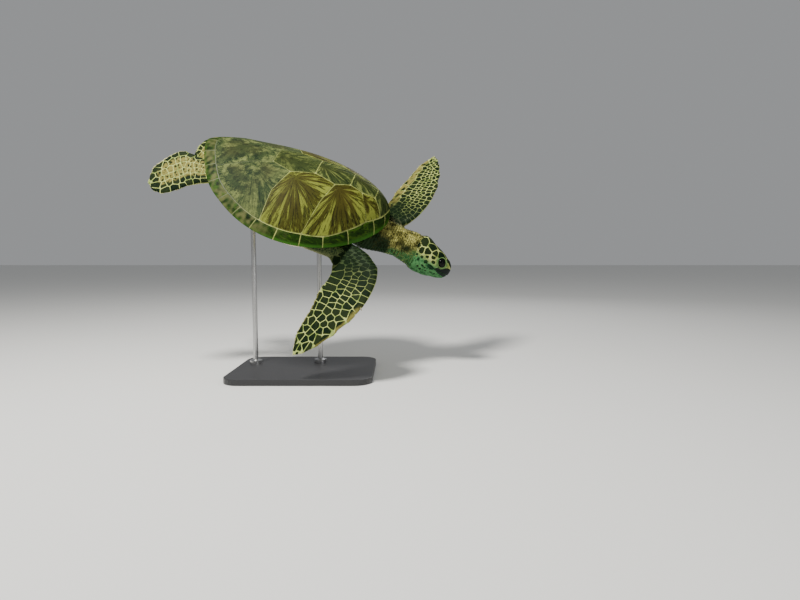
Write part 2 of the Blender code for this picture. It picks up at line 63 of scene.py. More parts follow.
# %% [markdown]
# ## The body's own frame
#
# A swimming turtle is easier to describe level: x forward, y to its left, z up, with the origin in
# the middle of the shell at the height of its lowest edge. The place and the three angles below tip
# that level animal into its swimming attitude over the stand, exactly as the solids have it. Later
# cells place things in this level frame, or in one of head or limb, and a matrix carries them over.

# %% Body frame
BODY_PLACE = Vector((-0.030, 0.030, 0.560))
HEADING = math.radians(5.7)
NOSE_DOWN = math.radians(23.2)
BANK_RIGHT = math.radians(37.4)

BODY = Matrix.Translation(BODY_PLACE)
BODY = BODY @ Matrix.Rotation(HEADING, 4, "Z")
BODY = BODY @ Matrix.Rotation(NOSE_DOWN, 4, "Y")
BODY = BODY @ Matrix.Rotation(BANK_RIGHT, 4, "X")
BODY_INVERSE = BODY.inverted()


def apply_matrix(matrix, points):
    """Move an array of points, one per row, by a 4x4 matrix."""
    grid = np.array(matrix)
    return np.asarray(points) @ grid[:3, :3].T + grid[:3, 3]


def frame_of(origin, forward, up):
    """Matrix whose x axis is forward and whose z axis is as near to up as it can be."""
    x = Vector(forward).normalized()
    y = Vector(up).cross(x).normalized()
    z = x.cross(y)
    made = Matrix((x, y, z)).transposed().to_4x4()
    made.translation = Vector(origin)
    return made


HEAD = BODY @ frame_of((0.480, -0.010, -0.008), (0.957, -0.26, -0.053), (0.198, 0.49, 0.831))
print("head centre in the world:", tuple(round(value, 3) for value in HEAD.translation))

# %% [markdown]
# ## Small helpers
#
# A mesh piece always needs the same three steps: build the mesh, give it a material and let it ride
# on the model. One function does that. A second stores a number on every point, which is how the
# cells below hand patterns such as rays, growth rings and folds to the shaders. A third turns the
# faces of a finished piece outward.

# %% Mesh helpers
def piece(name, verts, faces, finish):
    """Make a smooth mesh object that belongs to the model."""
    mesh = bpy.data.meshes.new(name)
    mesh.from_pydata([tuple(spot) for spot in verts], [], faces)
    mesh.materials.append(finish)
    mesh.shade_smooth()
    obj = bpy.data.objects.new(name, mesh)
    bpy.context.scene.collection.objects.link(obj)
    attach(obj, "root")
    return obj


def point_values(obj, name, values):
    """Store one number per point under a name that shaders can read."""
    layer = obj.data.attributes.new(name, "FLOAT", "POINT")
    layer.data.foreach_set("value", np.asarray(values, dtype=np.float32))


def face_outward(obj, weld=0.0):
    """Turn all faces outward, after joining points that lie closer together than weld."""
    bm = bmesh.new()
    bm.from_mesh(obj.data)
    if weld:
        bmesh.ops.remove_doubles(bm, verts=bm.verts, dist=weld)
    bmesh.ops.recalc_face_normals(bm, faces=bm.faces)
    bm.to_mesh(obj.data)
    bm.free()


def grid_faces(rows, columns, wrap=False):
    """Quads of a grid whose points are stored row by row; wrap closes each row into a ring."""
    last = columns if wrap else columns - 1
    faces = []
    for row in range(rows - 1):
        for column in range(last):
            after = (column + 1) % columns
            here = row * columns
            there = here + columns
            faces.append((here + column, here + after, there + after, there + column))
    return faces


def coordinates(obj):
    """Points of a piece, one per row."""
    flat = np.empty(len(obj.data.vertices) * 3)
    obj.data.vertices.foreach_get("co", flat)
    return flat.reshape(-1, 3)


def normals(obj):
    """Direction in which the surface faces at each point."""
    flat = np.empty(len(obj.data.vertices) * 3)
    obj.data.vertex_normals.foreach_get("vector", flat)
    return flat.reshape(-1, 3)


def set_coordinates(obj, points):
    obj.data.vertices.foreach_set("co", np.asarray(points).reshape(-1))
    obj.data.update()


def smoothstep(low, high, value):
    """Smooth 0 to 1 as value goes from low to high, which may be the smaller one."""
    share = np.clip((value - low) / (high - low), 0.0, 1.0)
    return share * share * (3.0 - 2.0 * share)


def noise_at(points, size, offset=0.0):
    """Smooth noise from -1 to 1 at each point; size is its grain in metres."""
    return np.array([noise.noise(Vector(spot) / size + Vector((offset, offset, offset))) for spot in points])


# %% [markdown]
# ## Shader groups
#
# Several finishes share an effect, so each effect is a node group with named sockets that gives out
# only colours, masks and heights. The Principled shader stays in each material.
#
# * **Scute rays**: a scute grows outward from one point, and its dark and light rays fan out from
#   there. Noise read on a circle round that point gives rays of uneven width that never show a seam.
# * **Plate colour**: every scale has a dark middle and a pale rim, with a shade of its own.
# * **Skin mottle**: soft blotches and a fine leathery grain for bare skin.

# %% Node helpers
def new_group(name, inputs):
    """Node group with these inputs, numbers or colours, that gives out a colour and a height."""
    group = bpy.data.node_groups.new(name, "ShaderNodeTree")
    for label, default in inputs.items():
        kind = "NodeSocketColor" if isinstance(default, tuple) else "NodeSocketFloat"
        socket = group.interface.new_socket(name=label, in_out="INPUT", socket_type=kind)
        socket.default_value = default
    for label, kind in (("Color", "NodeSocketColor"), ("Height", "NodeSocketFloat")):
        group.interface.new_socket(name=label, in_out="OUTPUT", socket_type=kind)
    given, result = group.nodes.new("NodeGroupInput"), group.nodes.new("NodeGroupOutput")
    return group, given.outputs, result.inputs


def feed(tree, target, value):
    """Link an input to another node's socket, or set it to a plain value."""
    if isinstance(value, bpy.types.NodeSocket):
        tree.links.new(value, target)
    else:
        target.default_value = value


def node(tree, kind, **values):
    """Add a node, and set or link its inputs by name."""
    made = tree.nodes.new(kind)
    for key, value in values.items():
        feed(tree, made.inputs[key.replace("_", " ")], value)
    return made


def math_node(tree, operation, *values):
    made = tree.nodes.new("ShaderNodeMath")
    made.operation = operation
    for target, value in zip(made.inputs, values):
        feed(tree, target, value)
    return made.outputs[0]


def times(tree, value, factor, *plus):
    """A product, and a third value added to it if there is one."""
    return math_node(tree, "MULTIPLY_ADD" if plus else "MULTIPLY", value, factor, *plus)


def mix_node(tree, kind, spots, values):
    """Blend two values by a share; spots are the numbers of the inputs and the output."""
    made = tree.nodes.new("ShaderNodeMix")
    made.data_type = kind
    for spot, value in zip(spots, values):
        feed(tree, made.inputs[spot], value)
    return made.outputs[spots[-1]]


def mix_colour(tree, share, first, second):
    return mix_node(tree, "RGBA", (0, 6, 7, 2), (share, first, second))


def mix_value(tree, share, first, second):
    return mix_node(tree, "FLOAT", (0, 2, 3, 0), (share, first, second))


def noise_value(tree, place, scale, detail, roughness=0.5):
    """Soft noise around one half; a larger scale makes it finer."""
    made = node(tree, "ShaderNodeTexNoise", Vector=place, Scale=scale, Detail=detail, Roughness=roughness)
    return made.outputs["Fac"]


def model_place(tree):
    """Place on the model, which the noise of a pattern reads."""
    return node(tree, "ShaderNodeTexCoord").outputs["Object"]


def ramp_value(tree, value, low, high):
    """Smooth 0 to 1 as value goes from low to high."""
    made = tree.nodes.new("ShaderNodeMapRange")
    made.interpolation_type = "SMOOTHSTEP"
    made.inputs["From Min"].default_value = low
    made.inputs["From Max"].default_value = high
    tree.links.new(value, made.inputs["Value"])
    return made.outputs[0]


def stored(tree, name):
    """Number that was stored on the points of the piece."""
    made = tree.nodes.new("ShaderNodeAttribute")
    made.attribute_name = name
    return made.outputs["Fac"]


def stored_inputs(tree, *names):
    """Stored numbers for the group inputs of the same names."""
    return {name.capitalize(): stored(tree, name) for name in names}


def rgb(red, green, blue):
    return (red, green, blue, 1.0)


# %% Scute rays group
RAYS_IN = {
    "Across": 0.0, "Along": 0.0, "Ring": 0.5, "Tint": 0.5, "Mottle": 0.0,
    "Dark": rgb(0.03, 0.03, 0.01), "Middle": rgb(0.1, 0.08, 0.02), "Light": rgb(0.3, 0.3, 0.1),
}


def scute_rays():
    """Rays that fan out from the growth centre; Mottle turns them into worn blotches."""
    group, given, result = new_group("Scute rays", RAYS_IN)
    ring, mottle = given["Ring"], given["Mottle"]
    shift = times(group, given["Tint"], 37.0)
    depth = math_node(group, "ADD", times(group, ring, 1.1), shift)
    fan = node(group, "ShaderNodeCombineXYZ", X=given["Across"], Y=given["Along"], Z=depth)
    fan = fan.outputs[0]
    place = model_place(group)
    broad = noise_value(group, fan, 0.9, 3.0)
    fine = noise_value(group, fan, 2.6, 4.0, 0.6)
    hair = noise_value(group, fan, 9.0, 3.0, 0.6)
    blotch = noise_value(group, place, 26.0, 6.0, 0.66)
    patch = noise_value(group, place, 60.0, 6.0, 0.70)
    speck = noise_value(group, place, 320.0, 4.0, 0.7)

    ragged = times(group, hair, 0.35, speck)
    ragged = times(group, ragged, 0.22, -0.15)

    def parted(pattern, low, high):
        """Light or dark, with a ragged border between them."""
        return ramp_value(group, math_node(group, "ADD", pattern, ragged), low, high)

    beams = times(group, parted(broad, 0.49, 0.57), ramp_value(group, ring, 0.12, 0.50))
    light = mix_value(group, mottle, beams, parted(blotch, 0.48, 0.58))
    dark = mix_value(group, mottle, parted(fine, 0.50, 0.60), parted(patch, 0.49, 0.57))
    strand = ramp_value(group, hair, 0.53, 0.62)
    tips = times(group, ramp_value(group, ring, 0.62, 0.98), strand)

    colour = mix_colour(group, light, given["Middle"], given["Light"])
    colour = mix_colour(group, times(group, dark, 0.88), colour, given["Dark"])
    colour = mix_colour(group, times(group, tips, 0.50), colour, given["Light"])
    specks = ramp_value(group, speck, 0.50, 0.72)
    colour = mix_colour(group, times(group, specks, 0.45), colour, given["Dark"])
    group.links.new(colour, result["Color"])
    wave = math_node(group, "SINE", times(group, ring, 75.0))
    height = times(group, wave, 0.25, fine)
    height = times(group, speck, 0.35, height)
    group.links.new(height, result["Height"])
    return group


# %% Plate colour group
PLATE_IN = {
    "Rim": 0.0, "Shade": 0.5, "Tan": 0.0, "Leaf": 0.0, "Dark": rgb(0.01, 0.02, 0.01),
    "Tan colour": rgb(0.3, 0.24, 0.08), "Leaf colour": rgb(0.1, 0.2, 0.08),
    "Leaf rim": rgb(0.2, 0.4, 0.15), "Border": rgb(0.5, 0.5, 0.3),
}


def plate_colour():
    """Dark middle, pale rim, with a shade that differs from plate to plate."""
    group, given, result = new_group("Plate colour", PLATE_IN)
    place = model_place(group)
    grain = noise_value(group, place, 420.0, 4.0)
    blotch = noise_value(group, place, 130.0, 2.0)
    lift = times(group, given["Shade"], 0.6, blotch)
    lift = ramp_value(group, lift, 0.35, 1.15)
    softer = mix_colour(group, 0.03, given["Dark"], given["Border"])
    colour = mix_colour(group, lift, given["Dark"], softer)
    uneven = times(group, blotch, 0.3, given["Tan"])
    warm = ramp_value(group, uneven, 0.35, 0.85)
    colour = mix_colour(group, warm, colour, given["Tan colour"])
    leaf = times(group, given["Leaf"], ramp_value(group, blotch, 0.25, 0.6))
    colour = mix_colour(group, leaf, colour, given["Leaf colour"])
    ragged = times(group, grain, 0.16, given["Rim"])
    greener = times(group, leaf, 0.8)
    pale = mix_colour(group, greener, given["Border"], given["Leaf rim"])
    pale = mix_colour(group, times(group, warm, 0.6), pale, given["Tan colour"])
    colour = mix_colour(group, ramp_value(group, ragged, 0.90, 1.06), colour, pale)
    group.links.new(colour, result["Color"])
    group.links.new(grain, result["Height"])
    return group


# %% Skin mottle group
MOTTLE_IN = {"Size": 60.0, "Base": rgb(0.4, 0.4, 0.2), "Blotch": rgb(0.2, 0.2, 0.1)}


def skin_mottle():
    """Soft blotches in two colours, and a fine leathery grain for the bump."""
    group, given, result = new_group("Skin mottle", MOTTLE_IN)
    place = model_place(group)
    blotch = noise_value(group, place, given["Size"], 4.0)
    pores = node(group, "ShaderNodeTexVoronoi", Vector=place, Scale=520.0)
    share = ramp_value(group, blotch, 0.42, 0.66)
    colour = mix_colour(group, share, given["Base"], given["Blotch"])
    group.links.new(colour, result["Color"])
    group.links.new(pores.outputs["Distance"], result["Height"])
    return group


RAYS = scute_rays()
PLATE = plate_colour()
MOTTLE = skin_mottle()
print("shader groups:", ", ".join(group.name for group in bpy.data.node_groups))

# %% [markdown]
# ## Finishes
#
# Horn and scales are smooth but not polished, so each finish has a middling roughness and little
# gloss, which also keeps the dark colours deep. The colours are those of a half-grown green turtle:
# olive and brown shell with yellow-green rays, near-black scales edged in cream, tan neck, green
# throat and cream belly.

# %% Material helpers
def material(name, roughness, coat=0.0, metallic=0.0, gloss=0.5):
    """Material with its node tree and its one shader."""
    made = bpy.data.materials.new(name)
    made.use_nodes = True
    shader = made.node_tree.nodes["Principled BSDF"]
    shader.inputs["Roughness"].default_value = roughness
    shader.inputs["Specular IOR Level"].default_value = gloss
    shader.inputs["Coat Weight"].default_value = coat
    shader.inputs["Coat Roughness"].default_value = 0.12
    shader.inputs["Metallic"].default_value = metallic
    return made, made.node_tree, shader


def use_group(tree, group, **values):
    """Place a shader group in a material and set or link its inputs."""
    made = tree.nodes.new("ShaderNodeGroup")
    made.node_tree = group
    for key, value in values.items():
        feed(tree, made.inputs[key.replace("_", " ")], value)
    return made


def dress(tree, shader, colour, height=None, strength=0.0, distance=0.0004):
    """Give a shader its colour, and a bump if there is a height for it."""
    tree.links.new(colour, shader.inputs["Base Color"])
    if height:
        made = node(tree, "ShaderNodeBump", Height=height, Strength=strength, Distance=distance)
        tree.links.new(made.outputs["Normal"], shader.inputs["Normal"])


UNDERSIDE_CREAM = rgb(0.330, 0.340, 0.140)
# near black for painted shade on scales in hollows, folds and under the shell, and for the dark patch behind
# the cheek
SHADE_AND_PATCH_BLACK = rgb(0.005, 0.012, 0.004)


def scute_finish(name, dark, middle, light, border, brown, roughness=0.52, rim=None):
    """Horn with rays, warmed by brown; with a rim colour the edge turns green, and cream below."""
    made, tree, shader = material(name, roughness, gloss=0.05)
    marks = stored_inputs(tree, "across", "along", "ring", "tint", "mottle")
    rays = use_group(tree, RAYS, Dark=dark, Middle=middle, Light=light, **marks)
    edge = ramp_value(tree, stored(tree, "edge"), 0.0018, 0.0006)
    colour = mix_colour(tree, stored(tree, "brown"), rays.outputs["Color"], brown)
    if rim:
        colour = mix_colour(tree, times(tree, stored(tree, "rim"), 0.85), colour, rim)
        colour = mix_colour(tree, stored(tree, "under"), colour, UNDERSIDE_CREAM)
    colour = mix_colour(tree, times(tree, edge, 0.35), colour, border)
    dress(tree, shader, colour, rays.outputs["Height"], 0.25)
    return made


def plate_finish(name, dark, tan, leaf, leaf_rim, border):
    """Horn of a scale, darkened to near black by painted shade in hollows, folds and under the shell, and by
    the cheek's own dark patch.
    """
    made, tree, shader = material(name, 0.55, gloss=0.03)
    colours = {"Dark": dark, "Tan_colour": tan, "Leaf_colour": leaf, "Leaf_rim": leaf_rim, "Border": border}
    plate = use_group(tree, PLATE, **stored_inputs(tree, "rim", "shade", "tan", "leaf"), **colours)
    # the stored hollow value is painted shade, plus the cheek's own dark patch on the neck pads
    colour = mix_colour(tree, stored(tree, "hollow"), plate.outputs["Color"], SHADE_AND_PATCH_BLACK)
    dress(tree, shader, colour, plate.outputs["Height"], 0.25)
    return made


# %% The finishes
SEAM = rgb(0.300, 0.330, 0.090)
DULL_SEAM = rgb(0.090, 0.110, 0.040)
FINISH = {
    "costal": scute_finish(
        "costal_scute", rgb(0.008, 0.008, 0.002), rgb(0.038, 0.037, 0.005), rgb(0.175, 0.200, 0.030), SEAM,
        rgb(0.056, 0.044, 0.009),
    ),
    "vertebral": scute_finish(
        "vertebral_scute", rgb(0.006, 0.013, 0.004), rgb(0.025, 0.038, 0.010), rgb(0.125, 0.150, 0.038), SEAM,
        rgb(0.042, 0.040, 0.011), 0.68,
    ),
    "rear": scute_finish(
        "rear_scute", rgb(0.004, 0.012, 0.006), rgb(0.022, 0.038, 0.013), rgb(0.135, 0.160, 0.050), DULL_SEAM,
        rgb(0.050, 0.046, 0.016), 0.60,
    ),
    "marginal": scute_finish(
        "marginal_scute", rgb(0.003, 0.009, 0.001), rgb(0.009, 0.028, 0.002), rgb(0.030, 0.068, 0.006), SEAM,
        rgb(0.096, 0.100, 0.034), rim=rgb(0.030, 0.108, 0.010),
    ),
    "scale": plate_finish(
        "dark_scale", rgb(0.003, 0.010, 0.004), rgb(0.190, 0.172, 0.045), rgb(0.008, 0.034, 0.014),
        rgb(0.150, 0.330, 0.095), rgb(0.410, 0.470, 0.150),
    ),
    "neck_scale": plate_finish(
        "neck_scale", rgb(0.030, 0.030, 0.007), rgb(0.310, 0.300, 0.085), rgb(0.042, 0.140, 0.042),
        rgb(0.180, 0.390, 0.140), rgb(0.350, 0.345, 0.115),
    ),
    "belly_scale": plate_finish(
        "belly_scale", rgb(0.420, 0.390, 0.190), rgb(0.520, 0.470, 0.240), rgb(0.300, 0.380, 0.180),
        rgb(0.400, 0.480, 0.220), rgb(0.560, 0.530, 0.300),
    ),
}


def skin_finish():
    """Pale border skin, tan neck, green throat and cream belly, told apart by stored values, with painted
    shade in folds and hollows.
    """
    made, tree, shader = material("turtle_skin", 0.55, gloss=0.08)
    pale = use_group(tree, MOTTLE, Size=50.0, Base=rgb(0.410, 0.460, 0.145), Blotch=rgb(0.190, 0.260, 0.060))
    neck = use_group(tree, MOTTLE, Size=45.0, Base=rgb(0.260, 0.235, 0.056), Blotch=rgb(0.085, 0.076, 0.013))
    leaf = use_group(tree, MOTTLE, Size=110.0, Base=rgb(0.072, 0.220, 0.076), Blotch=rgb(0.018, 0.088, 0.028))
    belly = use_group(tree, MOTTLE, Size=40.0, Base=rgb(0.520, 0.500, 0.270), Blotch=rgb(0.380, 0.390, 0.180))
    colour = mix_colour(tree, stored(tree, "neck"), pale.outputs["Color"], neck.outputs["Color"])
    colour = mix_colour(tree, stored(tree, "leaf"), colour, leaf.outputs["Color"])
    colour = mix_colour(tree, stored(tree, "belly"), colour, belly.outputs["Color"])
    net = node(tree, "ShaderNodeTexVoronoi", Vector=model_place(tree), Scale=150.0)
    net.feature = "DISTANCE_TO_EDGE"
    flake = ramp_value(tree, net.outputs["Distance"], 0.06, 0.16)
    flake = times(tree, flake, stored(tree, "net"))
    colour = mix_colour(tree, flake, colour, rgb(0.010, 0.022, 0.010))
    # painted shade in the valleys of the folds
    fold = ramp_value(tree, stored(tree, "fold"), 0.15, -0.55)
    colour = mix_colour(tree, times(tree, fold, 0.75), colour, rgb(0.030, 0.026, 0.008))
    # painted shade from the stored shade: hollows, limb roots, armpits and under the shell; also the cheek's
    # own dark patch and the lids' dark inner edge
    shaded = mix_colour(tree, stored(tree, "shade"), colour, rgb(0.006, 0.020, 0.006))
    dress(tree, shader, shaded, pale.outputs["Height"], 0.3, 0.0005)
    return made


def plain_finish(name, colour, roughness, coat=0.0, metallic=0.0, grain=0.0, size=200.0, gloss=0.35):
    """One colour with a little grain in it."""
    made, tree, shader = material(name, roughness, coat, metallic, gloss)
    darker = rgb(*(channel * 0.7 for channel in colour[:3]))
    spots = use_group(tree, MOTTLE, Size=size, Base=colour, Blotch=darker)
    height = spots.outputs["Height"] if grain else None
    dress(tree, shader, spots.outputs["Color"], height, grain, 0.0003)
    return made


FINISH["skin"] = skin_finish()


def seam_finish():
    """Pale seams at the front of the shell that fade to a dull olive at the rear."""
    made, tree, shader = material("shell_seam", 0.55, gloss=0.25)
    spots = use_group(tree, MOTTLE, Size=90.0, Base=SEAM, Blotch=rgb(0.170, 0.190, 0.050))
    dull = mix_colour(tree, stored(tree, "dull"), spots.outputs["Color"], rgb(0.050, 0.064, 0.024))
    dress(tree, shader, dull, spots.outputs["Height"], 0.2, 0.0003)
    return made


FINISH["seam"] = seam_finish()


def belly_finish():
    """Smooth cream horn with darker seams."""
    made, tree, shader = material("belly_scute", 0.42, coat=0.1, gloss=0.30)
    cream = use_group(tree, MOTTLE, Size=26.0, Base=rgb(0.600, 0.550, 0.310), Blotch=rgb(0.540, 0.480, 0.250))
    seam = mix_colour(tree, stored(tree, "seam"), cream.outputs["Color"], rgb(0.230, 0.190, 0.080))
    dress(tree, shader, seam, cream.outputs["Height"], 0.15, 0.0002)
    return made


FINISH["belly"] = belly_finish()
FINISH["beak"] = plain_finish("dark_horn", rgb(0.003, 0.008, 0.006), 0.42, gloss=0.15, size=160.0)
FINISH["jaw"] = plain_finish("jaw_horn", rgb(0.005, 0.014, 0.009), 0.42, gloss=0.15, size=160.0)
FINISH["claw"] = plain_finish("claw_horn", rgb(0.200, 0.170, 0.090), 0.30, coat=0.2)
FINISH["nostril"] = plain_finish("nostril_dark", rgb(0.006, 0.007, 0.005), 0.5)
FINISH["rod"] = plain_finish("satin_steel", rgb(0.560, 0.560, 0.560), 0.28, metallic=1.0, size=900.0)
FINISH["board"] = plain_finish("stand_board", rgb(0.030, 0.030, 0.032), 0.42, coat=0.1, size=300.0)
print("finishes:", len(bpy.data.materials))

# %% [markdown]
# ## One skin over all the flesh
#
# The solids part the animal into head, neck, trunk and limbs, but a living turtle has one unbroken
# skin. The way taken here is the sculptor's: swell every piece of flesh a little so that they run
# into each other, remesh the lot as one surface, smooth it like clay, then shrink it back below the
# solids by the swelling plus the depth of the scales. Thin flipper edges survive because they are
# thick while they are remeshed.

# %% Join and remesh the flesh
HEAD_NODES = ["head", "jaw_lower", "beak_upper"]
LIMB_NODES = {
    "front_right": ["front_arm_right", "front_blade_right"],
    "front_left": ["front_arm_left", "front_blade_left"],
    "hind_right": ["hind_leg_right", "hind_paddle_right"],
    "hind_left": ["hind_leg_left", "hind_paddle_left"],
}
FLESH = ["trunk", "neck", *HEAD_NODES, "tail", *sum(LIMB_NODES.values(), [])]
SWELL = 0.0012           # how far the solids grow so that they run into each other
COAT_DEPTH = 0.0006      # room that the scales take between the skin and the solids
SKIN_VOXEL = 0.0034
WELD = 0.00001


def swollen_flesh():
    """All flesh solids in one mesh, grown along their normals; also which solid each face is from."""
    together = bmesh.new()
    owner = []
    for index, name in enumerate(FLESH):
        node_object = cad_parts[name]
        part = bmesh.new()
        part.from_mesh(node_object.data)
        part.transform(node_object.matrix_world)
        bmesh.ops.remove_doubles(part, verts=part.verts, dist=WELD)
        bmesh.ops.recalc_face_normals(part, faces=part.faces)
        part.normal_update()
        for vert in part.verts:
            vert.co = vert.co + vert.normal * SWELL
        mesh = bpy.data.meshes.new("part")
        part.to_mesh(mesh)
        part.free()
        together.from_mesh(mesh)
        owner += [index] * (len(together.faces) - len(owner))
    mesh = bpy.data.meshes.new("flesh")
    together.to_mesh(mesh)
    tree = BVHTree.FromBMesh(together)
    together.free()
    return mesh, tree, owner


def settle(obj):
    """Give an object the mesh that its modifiers make, and drop them."""
    graph = bpy.context.evaluated_depsgraph_get()
    made = bpy.data.meshes.new_from_object(obj.evaluated_get(graph))
    made.name = obj.name
    obj.data = made
    obj.modifiers.clear()


def remesh_evenly(obj, voxel):
    """Rebuild an object's surface from cubes of one size."""
    remesh = obj.modifiers.new("one_surface", "REMESH")
    remesh.mode = "VOXEL"
    remesh.voxel_size = voxel
    settle(obj)


flesh_mesh, flesh_tree, flesh_owner = swollen_flesh()
skin = piece("turtle_skin", [], [], FINISH["skin"])
skin.data = flesh_mesh
remesh_evenly(skin, SKIN_VOXEL)
print("remeshed skin:", len(skin.data.polygons), "faces")


# %% Tell the regions apart and smooth
def edges_of(obj):
    """The two points of every edge of a piece."""
    flat = np.empty(len(obj.data.edges) * 2, dtype=np.int64)
    obj.data.edges.foreach_get("vertices", flat)
    return flat.reshape(-1, 2)


def relaxed(values, edges, rounds, strength=0.5):
    """Pull every value towards the mean of its neighbours along the mesh's edges."""
    values = np.array(values, dtype=float)
    flat = values.reshape(len(values), -1)
    count = np.bincount(edges.ravel(), minlength=len(flat)).astype(float)[:, None]
    for _ in range(rounds):
        total = np.empty_like(flat)
        for column in range(flat.shape[1]):
            line = flat[:, column]
            total[:, column] = np.bincount(edges[:, 0], line[edges[:, 1]], len(flat))
            total[:, column] += np.bincount(edges[:, 1], line[edges[:, 0]], len(flat))
        flat += (total / np.maximum(count, 1.0) - flat) * strength
    return flat.reshape(values.shape)


def smoothed(points, edges, rounds):
    """Smooth without shrinking: every pull towards the neighbours is followed by a push away."""
    for _ in range(rounds):
        points = relaxed(points, edges, 1, 0.50)
        points = relaxed(points, edges, 1, -0.53)
    return points


def nearest_solid(points):
    """Number of the solid of flesh that lies nearest to each point."""
    return np.array([flesh_owner[flesh_tree.find_nearest(Vector(spot))[2]] for spot in points])


def region_mask(names):
    """1 on the skin of some solids, 0 elsewhere."""
    wanted = [FLESH.index(name) for name in names]
    return np.isin(owners, wanted).astype(float)


def soft_region(names, rounds):
    """The same with a border that fades over about as many edges as there are rounds."""
    return relaxed(region_mask(names), edges, rounds)


edges = edges_of(skin)
owners = nearest_solid(coordinates(skin))
round_form = soft_region(["trunk", "neck", *HEAD_NODES], 6)
points = smoothed(coordinates(skin), edges, 5)
slow = smoothed(relaxed(points, edges, 4), edges, 30)
set_coordinates(skin, points + (slow - points) * round_form[:, None])
print("points of trunk, neck and head:", int(round_form.sum()))

# %% [markdown]
# The flesh behind the shell is never seen, so it gives up some of its faces. The head and neck get
# twice the detail instead, because folds and the line of the mouth need it.

# %% Spend the faces where they show
def thin_out_hidden():
    """Take away faces of the trunk where the dome or the plastron covers it."""
    level = apply_matrix(BODY_INVERSE, coordinates(skin))
    under_dome = (level[:, 2] > 0.012) & (np.abs(level[:, 0]) < 0.22)
    under_plastron = (np.abs(level[:, 1]) < 0.09) & (np.abs(level[:, 0]) < 0.19)
    hidden = region_mask(["trunk"]) * (under_dome | under_plastron)
    group = skin.vertex_groups.new(name="hidden")
    for index in np.nonzero(hidden)[0]:
        group.add([int(index)], 1.0, "REPLACE")
    thin = skin.modifiers.new("thin_out", "DECIMATE")
    thin.ratio = 0.60
    thin.vertex_group = "hidden"
    settle(skin)
    skin.vertex_groups.clear()


def refine(names):
    """Split every edge on the skin of some solids."""
    fine = region_mask(names) > 0
    bm = bmesh.new()
    bm.from_mesh(skin.data)
    bm.verts.ensure_lookup_table()
    chosen = [edge for edge in bm.edges if fine[edge.verts[0].index] and fine[edge.verts[1].index]]
    bmesh.ops.subdivide_edges(bm, edges=chosen, cuts=1, use_grid_fill=True)
    bm.to_mesh(skin.data)
    bm.free()


thin_out_hidden()
owners = nearest_solid(coordinates(skin))
refine(["neck", *HEAD_NODES])
edges = edges_of(skin)
owners = nearest_solid(coordinates(skin))
fine_part = soft_region(["neck", *HEAD_NODES], 4)
points = coordinates(skin)
set_coordinates(skin, points + (smoothed(points, edges, 5) - points) * fine_part[:, None])
set_coordinates(skin, coordinates(skin) - normals(skin) * (SWELL + COAT_DEPTH))
print("skin:", sum(len(face.vertices) - 2 for face in skin.data.polygons), "triangles")

# %% [markdown]
# ## Mouth, folds and colour zones
#
# A turtle has no lips: the two horny sheaths of the beak meet in a line that runs back below the
# eye. The skin only needs a groove there. The neck and the roots of the limbs are loose skin that
# lies in folds across their length, round on top with a sharp valley between. A wave whose phase is
# bent by noise gives that, and its height is stored for the shader, which paints shade into the
# valleys.
#
# Each limb has a frame of its own, from its root to its tip, so that folds, shade and later its
# scales can be placed by the share of its length.

# %% Carve the mouth and fold the neck
MOUTH_LINE = ((-0.006, -0.0170), (0.020, -0.0185), (0.045, -0.0165), (0.080, -0.0150))


def read_table(table, values):
    """Read a table of pairs at any place between them."""
    return np.interp(values, [row[0] for row in table], [row[1] for row in table])


def folds(points, along, wavelength, seed):
    """Height of folds that cross the direction along: 1 on their backs, -1 in their valleys."""
    bend = 2.6 * noise_at(points, 0.040, seed) + 1.3 * noise_at(points, 0.014, seed + 5.0)
    phase = points @ np.array(along) * (math.pi / wavelength) + bend
    depth = np.clip(0.75 + 1.1 * noise_at(points, 0.018, seed + 9.0), 0.15, 1.0)
    return 1.0 - (1.0 - np.abs(np.sin(phase))) * 2.0 * depth


def limb_frame(root, aim, pitch):
    """Frame of a flipper: x towards its tip, y towards its leading edge, z out of its upper side."""
    span = Vector(aim).normalized()
    chord = Vector(pitch)
    chord = (chord - span * chord.dot(span)).normalized()
    upper = span.cross(chord)
    if upper.z < 0.0:
        upper = -upper
    made = Matrix((span, chord, upper)).transposed().to_4x4()
    made.translation = Vector(root)
    return BODY @ made


LIMBS = {
    "front_right": limb_frame((0.195, -0.120, 0.006), (-0.018, -0.841, -0.540), (0.846, -0.301, 0.440)),
    "front_left": limb_frame((0.239, 0.047, -0.036), (0.346, 0.790, 0.505), (0.683, -0.582, 0.442)),
    "hind_right": limb_frame((-0.208, -0.050, 0.004), (-0.870, -0.291, -0.399), (0.442, -0.817, -0.369)),
    "hind_left": limb_frame((-0.196, 0.055, -0.006), (-0.800, 0.500, -0.330), (0.163, 0.714, 0.680)),
}
SPAN = {"front_right": 0.386, "front_left": 0.386, "hind_right": 0.236, "hind_left": 0.236}
LIMBS_BACK = {name: matrix.inverted() for name, matrix in LIMBS.items()}
HEAD_INVERSE = HEAD.inverted()

points = coordinates(skin)
facing = normals(skin)
in_head = apply_matrix(HEAD_INVERSE, points)
level = apply_matrix(BODY_INVERSE, points)
up_body = facing @ np.array(BODY.to_3x3())[:, 2]

head_part = soft_region(HEAD_NODES, 12)
neck_part = soft_region(["neck"], 12)
trunk_part = soft_region(["trunk"], 6)
limb_part = {name: soft_region(nodes, 4) for name, nodes in LIMB_NODES.items()}
print("points of head, neck and trunk:", [round(part.sum()) for part in (head_part, neck_part, trunk_part)])

MOUTH_DEPTH = 0.0018
MOUTH_WIDTH = 0.0016


